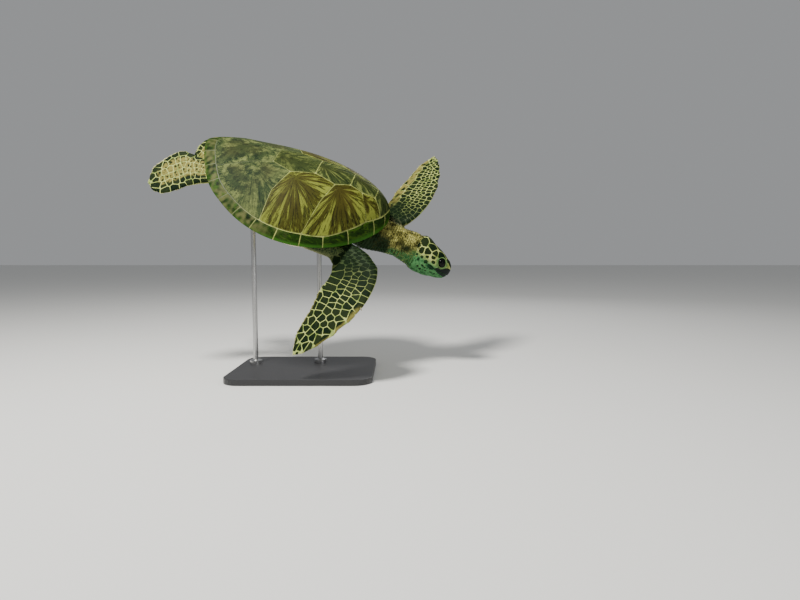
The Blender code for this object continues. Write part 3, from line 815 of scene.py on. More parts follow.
def mouth_depth(spots):
    """How deep the line of the mouth is pressed in, by place in the head's frame."""
    gap = (spots[:, 2] - read_table(MOUTH_LINE, spots[:, 0])) / MOUTH_WIDTH
    run = smoothstep(-0.012, 0.000, spots[:, 0]) * smoothstep(0.0, 0.004, np.abs(spots[:, 1]) + spots[:, 0])
    return MOUTH_DEPTH * np.exp(-gap * gap) * run


# direction that the folds cross, their wavelength and the seed of their noise
NECK_FOLDS = ((0.97, 0.02, -0.05), 0.0095, 3.0)
TRUNK_FOLDS = ((1.0, 0.0, 0.3), 0.0100, 7.0)
FOLD_HEIGHT = 0.0010


def neck_folds(level_spots):
    """Folds across the neck, the same for the skin and for the colour of the pads on it."""
    return folds(level_spots, *NECK_FOLDS)


fold = neck_folds(level) * neck_part
loose = trunk_part.copy()
underside = {}
for name, matrix in LIMBS.items():
    here = limb_part[name]
    downward = smoothstep(0.30, -0.12, facing @ np.array(matrix.to_3x3())[:, 2])
    underside[name] = relaxed(downward, edges, 8)
    root = here * smoothstep(0.30, 0.12, apply_matrix(LIMBS_BACK[name], points)[:, 0] / SPAN[name])
    root *= 1.0 - underside[name]
    loose = np.maximum(loose * (1.0 - here * underside[name]), root)
    fold += folds(level, matrix.to_3x3() @ Vector((1.0, 0.0, 0.0)), 0.0080, 11.0) * root * 0.7
fold += folds(level, *TRUNK_FOLDS) * trunk_part * 0.7

lift = FOLD_HEIGHT * fold - mouth_depth(in_head) * head_part
set_coordinates(skin, points + facing * lift[:, None])
print("deepest fold:", round(float(lift.min()) * 1000, 2), "mm")

# %% Colour zones of the skin
def leaf_zone(spots):
    """Where cheek and throat turn green: below the eye and under the neck."""
    flat = apply_matrix(BODY_INVERSE, spots)
    head = apply_matrix(HEAD_INVERSE, spots)
    on_head = smoothstep(-0.080, -0.055, head[:, 0])
    cheek = smoothstep(0.004, -0.016, head[:, 2])
    throat = smoothstep(0.014, -0.006, flat[:, 2]) * smoothstep(0.24, 0.30, flat[:, 0])
    throat *= smoothstep(0.14, 0.11, np.abs(flat[:, 1]))
    return cheek * on_head + throat * (1.0 - on_head)


def hollow_shade_and_patch(spots):
    """Painted shade in the hollow between neck and shoulder, and the skin's own dark patch behind the cheek.
    """
    flat = apply_matrix(BODY_INVERSE, spots)
    hollow = smoothstep(0.345, 0.325, flat[:, 0]) * smoothstep(0.045, 0.062, np.abs(flat[:, 1]))
    hollow *= smoothstep(0.20, 0.24, flat[:, 0]) * smoothstep(0.130, 0.100, np.abs(flat[:, 1]))
    patch = (flat[:, 0] - 0.383) ** 2 / 0.020 ** 2 + (flat[:, 2] - 0.017) ** 2 / 0.010 ** 2
    patch = np.exp(-patch) * smoothstep(0.020, 0.034, np.abs(flat[:, 1]))
    return np.maximum(hollow * 0.92, patch * 0.8)


def mouth_shade(spots):
    """Painted shade in the gap between the jaws."""
    head = apply_matrix(HEAD_INVERSE, spots)
    gap = (head[:, 2] - read_table(MOUTH_LINE, head[:, 0])) / 0.0026
    return np.exp(-gap * gap) * smoothstep(-0.004, 0.016, head[:, 0])


def root_shade(limb, spots):
    """Dusk at a limb's root: darker skin there, and painted shade where it lies under the shell."""
    along = apply_matrix(LIMBS_BACK[limb], spots)[:, 0] / SPAN[limb]
    return 0.95 * smoothstep(0.50, 0.16, along)


belly_side = smoothstep(0.05, -0.55, up_body) * (1.0 - np.clip(head_part + neck_part, 0.0, 1.0))
point_values(skin, "fold", fold)
point_values(skin, "neck", neck_part)
point_values(skin, "leaf", leaf_zone(points) * np.clip(head_part + neck_part + trunk_part, 0.0, 1.0))
point_values(skin, "belly", belly_side)
point_values(skin, "net", 0.92 * loose * (1.0 - belly_side))
# Painted shade, summed: the hollow beside the neck, the trunk's upper skin under the shell (partly its darker
# web skin), the gap of the mouth, then the limb roots and armpits. The neck skin between its pads is darkened
# too, and the dark patch behind the cheek is the skin's own.
dark = hollow_shade_and_patch(points) + 0.35 * trunk_part * (1.0 - belly_side) + 0.3 * neck_part
dark += mouth_shade(points) * head_part
for name in ("front_right", "front_left"):
    here = limb_part[name]
    dark *= 1.0 - 0.9 * here * underside[name]
    dark = np.maximum(dark, here * root_shade(name, points) * (1.0 - 0.9 * underside[name]))
    from_shoulder = np.linalg.norm(apply_matrix(LIMBS_BACK[name], points), axis=1)
    # painted shade in the armpit
    armpit_shade = smoothstep(0.190, 0.080, from_shoulder) * np.clip(trunk_part + here, 0.0, 1.0)
    dark = np.maximum(dark, 0.85 * armpit_shade * (1.0 - 0.35 * belly_side) * (1.0 - here * underside[name]))
SKIN_SHADE = relaxed(np.clip(dark, 0.0, 0.98), edges, 2)
point_values(skin, "shade", SKIN_SHADE)
SKIN_POINTS = coordinates(skin)
SKIN_FACES = [tuple(face.vertices) for face in skin.data.polygons]


def skin_tree(wanted=None):
    """Search tree of the skin, or of its faces whose first point is wanted."""
    faces = [face for face in SKIN_FACES if wanted is None or wanted[face[0]]]
    return BVHTree.FromPolygons([Vector(spot) for spot in SKIN_POINTS], faces)


SKIN_TREE = skin_tree()


def shade_below(spots):
    """The shade painted on the skin under each point, so that the scales darken with it."""
    below = [SKIN_TREE.find_nearest(Vector(spot))[2] for spot in spots]
    return np.array([SKIN_SHADE[SKIN_FACES[face][0]] for face in below])


skin.data.materials.clear()
skin.data.materials.append(FINISH["skin"])
skin.data.shade_smooth()
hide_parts(*FLESH)
print("skin reaches from", SKIN_POINTS.min(axis=0).round(3), "to", SKIN_POINTS.max(axis=0).round(3))

# %% [markdown]
# ## The carapace
#
# The dome is bone under a covering of horny plates, the scutes: five along the spine, four pairs of
# costals beside them and a ring of small marginals, one of which crosses over the neck. Each scute
# grows outward from one point, its umbo, so it is modelled as a fan: lines run from the umbo to
# points along its outline. The fan's own numbers then steer the shader's rays and growth rings. The
# scutes lie side by side on a pale base, which shows between them as the seams.
#
# The dome is a formula of two numbers, lengthwise and across, the same that shaped the solid.

# %% Shape of the dome
SHELL_LENGTH = 0.600
SHELL_HALF_WIDTH = 0.253
DOME_HEIGHT = 0.134
RIM_THICKNESS = 0.007
SHELL_CENTRE = np.array((0.018, 0.0))
SCUTE_RISE = 0.0008      # the scutes' outer faces lie this far above the pale base
SEAM_GAP = 0.0009        # bare base between two scutes


def bell(s, front, rear):
    """Curve that leaves 0 with the power front, peaks at 1 and falls with the power rear."""
    s = np.clip(s, 0.0, 1.0)
    peak = front / (front + rear)
    return (s / peak) ** front * ((1.0 - s) / (1.0 - peak)) ** rear


def half_width(s):
    """Half the shell's width at a share of its length from the front."""
    corner = 1.0 + 0.06 * np.exp(-(((s - 0.88) / 0.07) ** 2))
    return SHELL_HALF_WIDTH * bell(s, 0.66, 0.68) * corner


def rim_point(angle):
    """Outline of the shell in plan: angle 0 is the neck, 90 degrees its left."""
    s = (1.0 - np.cos(angle)) / 2.0
    return np.stack([SHELL_LENGTH * (0.5 - s), np.sign(np.sin(angle)) * half_width(s)], axis=-1)


def margin_height(x):
    """Height of the shell's edge, which rises towards the neck and the tail."""
    s = np.clip(0.5 - x / SHELL_LENGTH, 0.0, 1.0)
    return 0.045 * (1.0 - s) ** 3 + 0.062 * s ** 6


def dome(plan, rise=0.0):
    """Points of the dome over points in plan, raised by rise along its slope."""
    plan = np.asarray(plan, dtype=float)

    def height(x, y):
        s = np.clip(0.5 - x / SHELL_LENGTH, 0.0, 1.0)
        across = np.minimum(1.0, np.abs(y) / np.maximum(half_width(s), 1e-6))
        crest = DOME_HEIGHT * bell(s, 0.42, 0.755)
        return margin_height(x) + crest * (1.0 - across ** 1.55) ** 0.88

    x, y = plan[..., 0], plan[..., 1]
    step = 0.002
    slope_x = (height(x + step, y) - height(x - step, y)) / (2.0 * step)
    slope_y = (height(x, y + step) - height(x, y - step)) / (2.0 * step)
    steep = np.sqrt(1.0 + slope_x ** 2 + slope_y ** 2)
    normal = np.stack([-slope_x, -slope_y, np.ones_like(x)], axis=-1) / steep[..., None]
    spot = np.stack([x, y, height(x, y)], axis=-1)
    return spot + normal * np.asarray(rise)[..., None]


# %% Pale base under the scutes
BASE_REACH = 0.9985      # the base ends just inside the scutes' outer edge
BASE_WELD = 0.00005


def make_shell_base():
    """Closed shell: dome above, a thin rim, and the hollow underside."""
    columns = 144
    rim = rim_point(np.linspace(0.0, math.tau, columns, endpoint=False))
    rows = []
    for t in np.concatenate([np.linspace(0.0, 0.5, 34), np.linspace(0.5, 1.0, 26)[1:]]):
        reach = math.sin(math.pi * t) * BASE_REACH
        plan = SHELL_CENTRE + (rim - SHELL_CENTRE) * reach
        if t <= 0.5:
            rows.append(dome(plan, -SCUTE_RISE * np.ones(columns)))
        else:
            drop = (RIM_THICKNESS - 0.0006) * (1.0 - (reach / BASE_REACH) ** 8) ** 0.5
            rows.append(np.column_stack([plan, margin_height(plan[:, 0]) - drop]))
    spots = apply_matrix(BODY, np.concatenate(rows))
    base = piece("shell_base", spots, grid_faces(len(rows), columns, wrap=True), FINISH["seam"])
    face_outward(base, BASE_WELD)
    flat = apply_matrix(BODY_INVERSE, coordinates(base))
    point_values(base, "dull", smoothstep(0.02, -0.16, flat[:, 0]))
    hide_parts("carapace")
    return base


shell_base = make_shell_base()
print("shell base:", len(shell_base.data.polygons), "faces")

# %% [markdown]
# ### The pattern of seams
#
# The seams are named corners in plan, in shell lengths, x forward and y out from the spine. Scutes
# share their corners, so neighbours always meet. The left side mirrors the right.

# %% Seam corners
# how far out from the shell's centre the marginals begin, by share of the half outline
COSTAL_EDGE = (
    (0.0, 0.965), (0.055, 0.950), (0.09, 0.930), (0.135, 0.904), (0.22, 0.904), (0.318, 0.922),
    (0.40, 0.902), (0.50, 0.900), (1.0, 0.905),
)
MARGINAL_ENDS = (0.037, 0.100, 0.220, 0.318, 0.400, 0.487, 0.573, 0.650, 0.725, 0.800, 0.870, 0.937, 1.0)

RIM_ANGLES = np.linspace(0.0, math.pi, 721)
RIM_STEPS = np.hypot(*np.diff(rim_point(RIM_ANGLES), axis=0).T)
RIM_RUN = np.concatenate([[0.0], np.cumsum(RIM_STEPS)]) / RIM_STEPS.sum()


def ring_plan(share, factor):
    """Point in plan at a share of the half outline, at a factor of the way out to the rim."""
    angle = np.interp(np.abs(share), RIM_RUN, RIM_ANGLES)
    rim = rim_point(np.clip(angle, 1e-6, math.pi - 1e-6))
    rim[..., 1] *= np.where(np.asarray(share) < 0.0, -1.0, 1.0)
    return SHELL_CENTRE + (rim - SHELL_CENTRE) * np.asarray(factor)[..., None]


def edge_run(first, last, steps=9):
    """Points along the line where the marginals begin, in shell lengths."""
    shares = np.linspace(first, last, steps)
    return [tuple(spot / SHELL_LENGTH) for spot in ring_plan(shares, read_table(COSTAL_EDGE, np.abs(shares)))]


V12 = (0.388, 0.046)
K12 = (0.318, 0.066)
V23 = (0.250, 0.060)
K23 = (0.180, 0.094)
V34 = (0.070, 0.070)
K34 = (-0.045, 0.102)
V45 = (-0.145, 0.064)
K45 = (-0.235, 0.092)
SEAM_23 = (0.150, 0.200)
SEAM_34 = (-0.085, 0.230)

COSTALS = [
    ([V12, K12] + edge_run(0.135, 0.066), (0.335, 0.090)),
    ([K12, V23, K23, SEAM_23] + edge_run(0.400, 0.135), (0.205, 0.112)),
    ([K23, V34, K34, SEAM_34] + edge_run(0.562, 0.400) + [SEAM_23], (-0.015, 0.130)),
    ([K34, V45, K45] + edge_run(0.860, 0.562) + [SEAM_34], (-0.215, 0.120)),
]


def both_sides(corners):
    """Close an outline over the spine by mirroring its corners."""
    off_spine = [corner for corner in corners if corner[1] > 0.001]
    return corners + [(x, -y) for x, y in off_spine[::-1]]


VERTEBRALS = [
    (both_sides(edge_run(0.0, 0.066, 4) + [V12]), (0.400, 0.0)),
    (both_sides([V12, K12, V23]), (0.262, 0.0)),
    (both_sides([V23, K23, V34]), (0.088, 0.0)),
    (both_sides([V34, K34, V45]), (-0.125, 0.0)),
    (both_sides([V45, K45] + edge_run(0.860, 1.0)), (-0.335, 0.0)),
]
print("scutes with fans:", 2 * len(COSTALS) + len(VERTEBRALS))

# %% [markdown]
# ### From outline to horn plate
#
# Each outline is resampled evenly and pulled in by half a seam. Lines from the umbo to the outline
# then carry rows of points, close together at the rim, where the plate rounds over and goes down to
# the base. The distance along a line becomes the growth ring, the place round the outline becomes
# the direction of the rays.

# %% Fan scutes
def resample_closed(points, spacing):
    """Even points round a closed outline, and its length."""
    loop = np.vstack([points, points[:1]])
    run = np.concatenate([[0.0], np.cumsum(np.hypot(*np.diff(loop, axis=0).T))])
    count = max(12, int(run[-1] / spacing))
    stops = np.linspace(0.0, run[-1], count, endpoint=False)
    return np.column_stack([np.interp(stops, run, loop[:, axis]) for axis in (0, 1)]), run[-1]


def soften_corners(points, rounds=2):
    for _ in range(rounds):
        points = 0.5 * points + 0.25 * (np.roll(points, 1, axis=0) + np.roll(points, -1, axis=0))
    return points


def pull_in(points, distance):
    """Move a closed outline inward by a distance."""
    along = np.roll(points, -1, axis=0) - np.roll(points, 1, axis=0)
    along /= np.linalg.norm(along, axis=1)[:, None]
    inward = np.column_stack([-along[:, 1], along[:, 0]])
    area = 0.5 * np.sum(points[:, 0] * np.roll(points[:, 1], -1) - np.roll(points[:, 0], -1) * points[:, 1])
    return points + inward * distance * (1.0 if area > 0.0 else -1.0)


RIM_ROUND = 0.0018       # width over which a scute rounds down to the base
RIM_ROWS = (0.0, 0.0, 0.0004, 0.0009, 0.0018, 0.0032)
FAN_ROWS = 20
FAN_SPACING = 0.0034


def fan_scute(outline, umbo, seed):
    """Points, faces and stored values of one scute."""
    loop, length = resample_closed(np.array(outline) * SHELL_LENGTH, FAN_SPACING)
    wander = 0.0009 * noise_at(np.column_stack([loop, np.zeros(len(loop))]), 0.016, seed)
    loop = pull_in(soften_corners(loop), SEAM_GAP / 2.0 + np.abs(wander)[:, None])
    centre = np.array(umbo) * SHELL_LENGTH
    reach = np.linalg.norm(loop - centre, axis=1)
    shares = [1.0 - row / reach for row in RIM_ROWS]
    shares += [(1.0 - RIM_ROWS[-1] / reach) * (1.0 - t) for t in np.linspace(0.0, 0.97, FAN_ROWS)[1:]]
    turn = np.arange(len(loop)) / len(loop) * math.tau
    circle = length * 44.0 / math.tau
    spots, rings, edge = [], [], []
    for number, share in enumerate(shares):
        plan = centre + (loop - centre) * share[:, None]
        inside = reach * (1.0 - share)
        rounded = 1.0 - np.clip(1.0 - inside / RIM_ROUND, 0.0, 1.0) ** 2
        rise = SCUTE_RISE * (np.sqrt(rounded) - 1.0)
        wave = 0.00018 * np.sin(share * 46.0)
        rise += wave * smoothstep(0.0, 0.008, inside) * smoothstep(0.05, 0.25, share)
        rise += 0.0004 * smoothstep(0.22, 0.0, share)
        if number == 0:
            rise = np.full(len(loop), -SCUTE_RISE - 0.0006)
        spots.append(dome(plan, rise))
        rings.append(share)
        edge.append(inside)
    faces = grid_faces(len(shares), len(loop), wrap=True)
    middle = sum(len(row) for row in spots)
    last = middle - len(loop)
    faces += [(last + column, last + (column + 1) % len(loop), middle) for column in range(len(loop))]
    spots.append(dome(centre[None, :], np.array([0.0004])))
    count = len(shares)
    values = {
        "ring": np.append(np.concatenate(rings), 0.0),
        "edge": np.append(np.concatenate(edge), reach.min()),
        "across": np.append(np.tile(np.cos(turn) * circle, count), 0.0),
        "along": np.append(np.tile(np.sin(turn) * circle, count), 0.0),
        "tint": np.full(count * len(loop) + 1, (seed * 0.37) % 1.0),
    }
    spots = np.concatenate(spots)
    values["mottle"] = 0.85 * smoothstep(0.10, -0.14, spots[:, 0] + 0.35 * np.abs(spots[:, 1]))
    warmth = 0.5 + 0.9 * noise_at(spots, 0.060, 31.0)
    values["brown"] = np.clip(warmth, 0.0, 1.0) * 0.40 * smoothstep(0.9, 0.4, values["ring"])
    return spots, faces, values


def join_parts(name, parts, finish, matrix=None):
    """Join meshes given as points, faces and stored values into one piece."""
    spots, faces, start = [], [], 0
    for points, part_faces, _ in parts:
        spots.append(points)
        faces += [tuple(index + start for index in face) for face in part_faces]
        start += len(points)
    spots = np.concatenate(spots)
    obj = piece(name, apply_matrix(matrix, spots) if matrix else spots, faces, finish)
    for key in parts[0][2]:
        point_values(obj, key, np.concatenate([values[key] for _, _, values in parts]))
    face_outward(obj)
    return obj


def mirrored(corners):
    return [(x, -y) for x, y in corners]


costal_parts = []
for number, (outline, umbo) in enumerate(COSTALS):
    costal_parts.append(fan_scute(outline, umbo, 2.0 + number))
    costal_parts.append(fan_scute(mirrored(outline), (umbo[0], -umbo[1]), 12.3 + number))
vertebral_parts = [fan_scute(outline, umbo, 21.7 + i) for i, (outline, umbo) in enumerate(VERTEBRALS)]

for name, parts in (
    ("costal", costal_parts[:6]), ("rear", costal_parts[6:] + vertebral_parts[4:]),
    ("vertebral", vertebral_parts[:4]),
):
    scutes = join_parts(name + "_scutes", parts, FINISH[name], BODY)
    print(scutes.name, len(scutes.data.polygons), "faces")

# %% [markdown]
# ### Marginal scutes
#
# A marginal is a strip of horn folded over the rim: it starts at the costals, runs out over the
# edge and back a little way underneath. So it is a grid and not a fan. One direction follows the
# rim, the other walks out, round the edge and back.

# %% Marginals
UNDER_REACH = 0.83       # how far in the marginals' lower faces reach
RIM_WALK = 0.55          # where the rim lies on the way from the costal seam to the lower edge
UNDER_WALK = 0.45        # and how much of that way is below it
WALKS = np.concatenate([np.linspace(0.0, RIM_WALK, 15), np.linspace(RIM_WALK, 1.0, 13)[1:]])
RIM_ROW = 14
COLUMNS_PER_SHARE = 1010.0 / 2.2


def rim_profile(share, walk):
    """Points on the shell at shares of the rim; walk goes from the costal seam over the rim to 1."""
    if walk <= RIM_WALK:
        inner = read_table(COSTAL_EDGE, np.abs(share))
        factor = inner + (1.0 - inner) * math.sin(walk / RIM_WALK * math.pi / 2.0)
        plan = ring_plan(share, np.minimum(factor, 0.9999))
        return dome(plan, np.zeros(len(share)))
    below = (walk - RIM_WALK) / UNDER_WALK
    factor = 1.0 - (1.0 - UNDER_REACH) * (1.0 - math.cos(below * math.pi / 2.0))
    plan = ring_plan(share, np.full(len(share), factor))
    drop = RIM_THICKNESS * (1.0 - min(factor, 1.0) ** 8) ** 0.5
    return np.column_stack([plan, margin_height(plan[:, 0]) - drop])


def marginal_scute(first, last, seed):
    """Points, faces and stored values of one marginal between two shares of the rim."""
    columns = max(12, int(abs(last - first) * COLUMNS_PER_SHARE))
    shares = np.linspace(first, last, columns)
    grid = np.array([rim_profile(shares, walk) for walk in WALKS])
    normal = np.cross(np.gradient(grid, axis=0), np.gradient(grid, axis=1))
    normal /= np.maximum(np.linalg.norm(normal, axis=2), 1e-9)[..., None]
    if normal[2, columns // 2, 2] < 0.0:
        normal = -normal
    walk_run = np.cumsum(np.linalg.norm(np.diff(grid, axis=0, prepend=grid[:1]), axis=2), axis=0)
    side = np.minimum(*(np.linalg.norm(grid - end, axis=2) for end in (grid[:, :1], grid[:, -1:])))
    inside = np.minimum(side, np.minimum(walk_run, walk_run[-1:] - walk_run))
    rounded = 1.0 - np.clip(1.0 - inside / RIM_ROUND, 0.0, 1.0) ** 2
    sunk = SCUTE_RISE * (np.sqrt(rounded) - 1.0)
    border = np.zeros(inside.shape, dtype=bool)
    border[0, :] = border[-1, :] = border[:, 0] = border[:, -1] = True
    sunk[border] = -SCUTE_RISE - 0.0005
    spots = (grid + normal * sunk[..., None]).reshape(-1, 3)
    away = np.linalg.norm(grid - grid[RIM_ROW, -2], axis=2)
    angle = np.arctan2(walk_run - walk_run[RIM_ROW], away)
    to_rear = np.tile(smoothstep(0.40, 0.62, np.abs(shares)), len(WALKS))
    walk = np.repeat(WALKS, columns)
    values = {
        "ring": np.clip(away / 0.07, 0.0, 1.0).reshape(-1),
        "edge": inside.reshape(-1),
        "across": (angle * 6.0).reshape(-1),
        "along": (walk_run * 60.0).reshape(-1),
        "tint": np.full(inside.size, (seed * 0.61) % 1.0),
        "rim": smoothstep(0.26, 0.42, walk) * (1.0 - 0.8 * to_rear),
        "mottle": to_rear,
        "brown": to_rear * np.clip(0.35 + 1.3 * noise_at(spots, 0.014, 17.0), 0.0, 0.85),
        "under": 0.9 * smoothstep(0.64, 0.80, walk),
    }
    return spots, grid_faces(len(WALKS), columns), values


half_gap = 0.0004 / 0.72     # half a seam, as a share of half the shell's outline
marginal_parts = [marginal_scute(-MARGINAL_ENDS[0] + half_gap, MARGINAL_ENDS[0] - half_gap, 1.0)]
for number, (first, last) in enumerate(zip(MARGINAL_ENDS[:-1], MARGINAL_ENDS[1:])):
    for sign in (1.0, -1.0):
        ends = sorted((sign * (first + half_gap), sign * (last - half_gap)))
        marginal_parts.append(marginal_scute(*ends, 3.0 + number + sign))
marginal_scutes = join_parts("marginal_scutes", marginal_parts, FINISH["marginal"], BODY)
print("marginal scutes:", len(marginal_parts), "with", len(marginal_scutes.data.polygons), "faces")

# %% [markdown]
# ## The plastron
#
# The breastplate is nearly flat, cream, and made of six pairs of scutes that meet on the midline.
# Its solid already has the outline, so a fine copy of the solid is smoothed a little and the seams
# are pressed in where each point lies close to one of the seam lines.

# %% Plastron with pressed seams
# where each cross seam meets the midline, and how much it bows towards the side
CROSS_SEAMS = ((0.155, 0.10), (0.095, 0.06), (0.020, -0.05), (-0.075, -0.05), (-0.140, 0.10))
# how far out the seam runs that parts the plates from those of the bridge
SIDE_SEAM = ((-0.19, 0.05), (-0.10, 0.095), (0.0, 0.115), (0.10, 0.105), (0.19, 0.06))
PLASTRON_VOXEL = 0.0030
SEAM_WIDTH = 0.0016
SEAM_DEPTH = 0.0009
PLASTRON_INSET = 0.0004


def make_plastron():
    """Smooth copy of the plastron's solid with its seams pressed in."""
    plate = piece("plastron_scutes", [], [], FINISH["belly"])
    plate.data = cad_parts["plastron"].data.copy()
    remesh_evenly(plate, PLASTRON_VOXEL)
    plate.data.materials.clear()
    plate.data.materials.append(FINISH["belly"])
    spots = relaxed(coordinates(plate), edges_of(plate), 5)
    level = apply_matrix(BODY_INVERSE, spots)
    x, y = level[:, 0], np.abs(level[:, 1])
    wander = 0.004 * noise_at(level, 0.05, 4.0)
    seam = np.abs(level[:, 1] + wander)
    for cross, bow in CROSS_SEAMS:
        seam = np.minimum(seam, np.abs(x - cross + bow * y + wander))
    seam = np.minimum(seam, np.abs(y - read_table(SIDE_SEAM, x) + wander))
    groove = np.exp(-((seam / SEAM_WIDTH) ** 2))
    set_coordinates(plate, spots)
    set_coordinates(plate, spots - normals(plate) * (PLASTRON_INSET + SEAM_DEPTH * groove)[:, None])
    point_values(plate, "seam", groove)
    plate.data.shade_smooth()
    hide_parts("plastron")
    return plate


plastron = make_plastron()
print("plastron:", len(plastron.data.polygons), "faces")

# %% [markdown]
# ## Eyes and lids
#
# A green turtle's eye is large, nearly black and wet, and sits deep under a heavy brow. The ball is
# a fine sphere with a slight bulge, whose colour comes from the angle to its axis: pupil, dark iris,
# and a greyer ring where the white begins. The lids are a ring of skin. Its inner edge lies on the
# ball, it rises to a soft crest, then sinks into the skin of the face. Rays cast on the skin tell it
# how deep.

# %% Eyeballs
EYE_RADIUS = 0.0154
EYE_CENTRE = (0.0330, 0.0232, 0.0102)
EYE_AXIS = Vector((0.25, 1.0, 0.25)).normalized()


def eye_finish():
    """Wet and dark: pupil, iris and a ring, parted by the angle from the eye's axis in degrees."""
    made, tree, shader = material("wet_eye", 0.08, gloss=0.12)
    polar = stored(tree, "polar")
    inner = ramp_value(tree, polar, 24.0, 30.0)
    iris = mix_colour(tree, inner, rgb(0.0005, 0.0006, 0.0006), rgb(0.002, 0.003, 0.002))
    ring = mix_colour(tree, ramp_value(tree, polar, 66.0, 72.0), iris, rgb(0.030, 0.034, 0.020))
    dress(tree, shader, ring)
    return made


FINISH["eye"] = eye_finish()


def turns_round(columns):
    """Even angles round a circle."""
    return [math.tau * column / columns for column in range(columns)]


def eye_frame(side):
    """Frame of one eye: z looks out of the head, x points forward."""
    axis = Vector((EYE_AXIS.x, side * EYE_AXIS.y, EYE_AXIS.z))
    forward = (Vector((1.0, 0.0, 0.0)) - axis * axis.x).normalized()
    made = Matrix((forward, axis.cross(forward), axis)).transposed().to_4x4()
    made.translation = Vector((EYE_CENTRE[0], side * EYE_CENTRE[1], EYE_CENTRE[2]))
    return HEAD @ made


def make_eyeball(name, node_name, side):
    """One eye, a ball of rings round its axis."""
    rows, columns = 40, 64
    spots, polar = [], []
    for row in range(rows):
        angle = math.pi * row / (rows - 1)
        cornea = 0.0006 * math.exp(-((angle / 0.55) ** 2))
        radius = EYE_RADIUS - 0.0005 + cornea
        for turn in turns_round(columns):
            across = radius * math.sin(angle)
            spots.append((across * math.cos(turn), across * math.sin(turn), radius * math.cos(angle)))
            polar.append(math.degrees(angle))
    faces = grid_faces(rows, columns, True)
    ball = piece(name, apply_matrix(eye_frame(side), spots), faces, FINISH["eye"])
    point_values(ball, "polar", polar)
    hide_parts(node_name)
    return ball


eyes = [make_eyeball("eyeball_left", "eye_left", 1.0), make_eyeball("eyeball_right", "eye_right", -1.0)]
print("eyes:", [round(value * 1000, 1) for value in eyes[0].dimensions], "mm")

# %% Lids
LID_REACH = 0.0205       # radius round the eye's axis where the lids melt into the face
LID_ON_BALL = EYE_RADIUS - 0.0002
LID_CREST = 0.0030       # height of the thick edge of the lids, higher still at the brow
CREST_END = 0.4545       # share of the way out where that edge ends
LID_CREASE = 0.0007
RAY_HEIGHT = 0.060       # rays start this far out from the eye's centre


def hit_skin(start, aim, far=0.2):
    """Place and normal where a ray first meets the skin, or None."""
    place, normal, _, _ = SKIN_TREE.ray_cast(start, aim, far)
    return place, normal


def lid_opening(turn, side):
    """Half angle of the opening, an oval that leans: high at the back, low at the front."""
    return math.radians(63.0 + 9.0 * math.cos(2.0 * (turn + side * -0.96)))


def lid_radius(turn, side, t):
    """Distance from the eye's axis at a share of the way from the ball's edge to the face."""
    inner = LID_ON_BALL * math.sin(lid_opening(turn, side))
    return inner + (LID_REACH * (1.0 + 0.10 * math.cos(turn)) - inner) * t


def lid_relief(turn, side, t):
    """What is added to the lids' smooth slope: thick edge, fine creases and sinking rim."""
    brow = 1.0 - 0.5 * math.sin(turn) * side
    crest = LID_CREST * brow * math.sin(math.pi * min(1.0, t * 2.2)) ** 0.8 if t < CREST_END else 0.0
    crease = LID_CREASE * (abs(math.sin(t * 11.0 + 0.8 * math.sin(2.0 * turn + 1.0))) - 0.6)
    crease *= math.sin(math.pi * t)
    sink = -0.0010 * float(smoothstep(0.86, 1.0, t)) + 0.0006 * math.sin(math.pi * t)
    return crest, crease, sink


def make_lids(name, side):
    """Both lids of one eye as a ring of skin."""
    columns, rows = 120, 34
    local = eye_frame(side)
    inverse = local.inverted()
    aim = -(local.to_3x3() @ Vector((0.0, 0.0, 1.0)))

    def face_height(turn, t):
        """Place over the lids, and the height of the face below it."""
        radius = lid_radius(turn, side, t)
        out = Vector((radius * math.cos(turn), radius * math.sin(turn), RAY_HEIGHT))
        place, _ = hit_skin(local @ out, aim)
        return out, (inverse @ place).z if place else None

    rim_heights = np.array([face_height(turn, 1.0)[1] or 0.0 for turn in turns_round(columns)])
    for _ in range(4):
        rim_heights = 0.5 * rim_heights + 0.25 * (np.roll(rim_heights, 1) + np.roll(rim_heights, -1))
    spots, fold = [], []
    for row in range(rows):
        t = row / (rows - 1)
        share = float(smoothstep(0.0, 1.0, t))
        for turn, rim_height in zip(turns_round(columns), rim_heights):
            out, face = face_height(turn, t)
            if face is None or t <= 0.4:
                face = rim_height
            face = max(face, rim_height - 0.004)
            inner_height = LID_ON_BALL * math.cos(lid_opening(turn, side))
            height = inner_height + (face - inner_height) * share
            crest, crease, sink = lid_relief(turn, side, t)
            spots.append((out.x, out.y, height + crest + crease + sink))
            fold.append(float(np.clip(crease / 0.0004, -1.0, 1.0)))
    lids = piece(name, apply_matrix(local, spots), grid_faces(rows, columns, True), FINISH["skin"])
    point_values(lids, "fold", fold)
    for key in ("neck", "belly", "net"):
        point_values(lids, key, np.zeros(len(spots)))
    point_values(lids, "leaf", np.maximum(leaf_zone(coordinates(lids)), 0.75))
    dark = smoothstep(0.10, 0.0, np.repeat(np.linspace(0.0, 1.0, rows), columns)) * 0.9
    point_values(lids, "shade", dark)
    face_outward(lids)
    return lids


lids = [make_lids("eyelids_left", 1.0), make_lids("eyelids_right", -1.0)]
print("lids:", [len(obj.data.polygons) for obj in lids], "faces")

# %% [markdown]
# ## Beak
#
# Each jaw is sheathed in horn, dark and worn smooth, a little greener below. A sheath is wrapped round
# the snout as a grid. Every point is found by a ray cast from outside towards the middle of the
# head, so the horn follows the skin, a fraction of a millimetre above it, and ends in a thin lip.

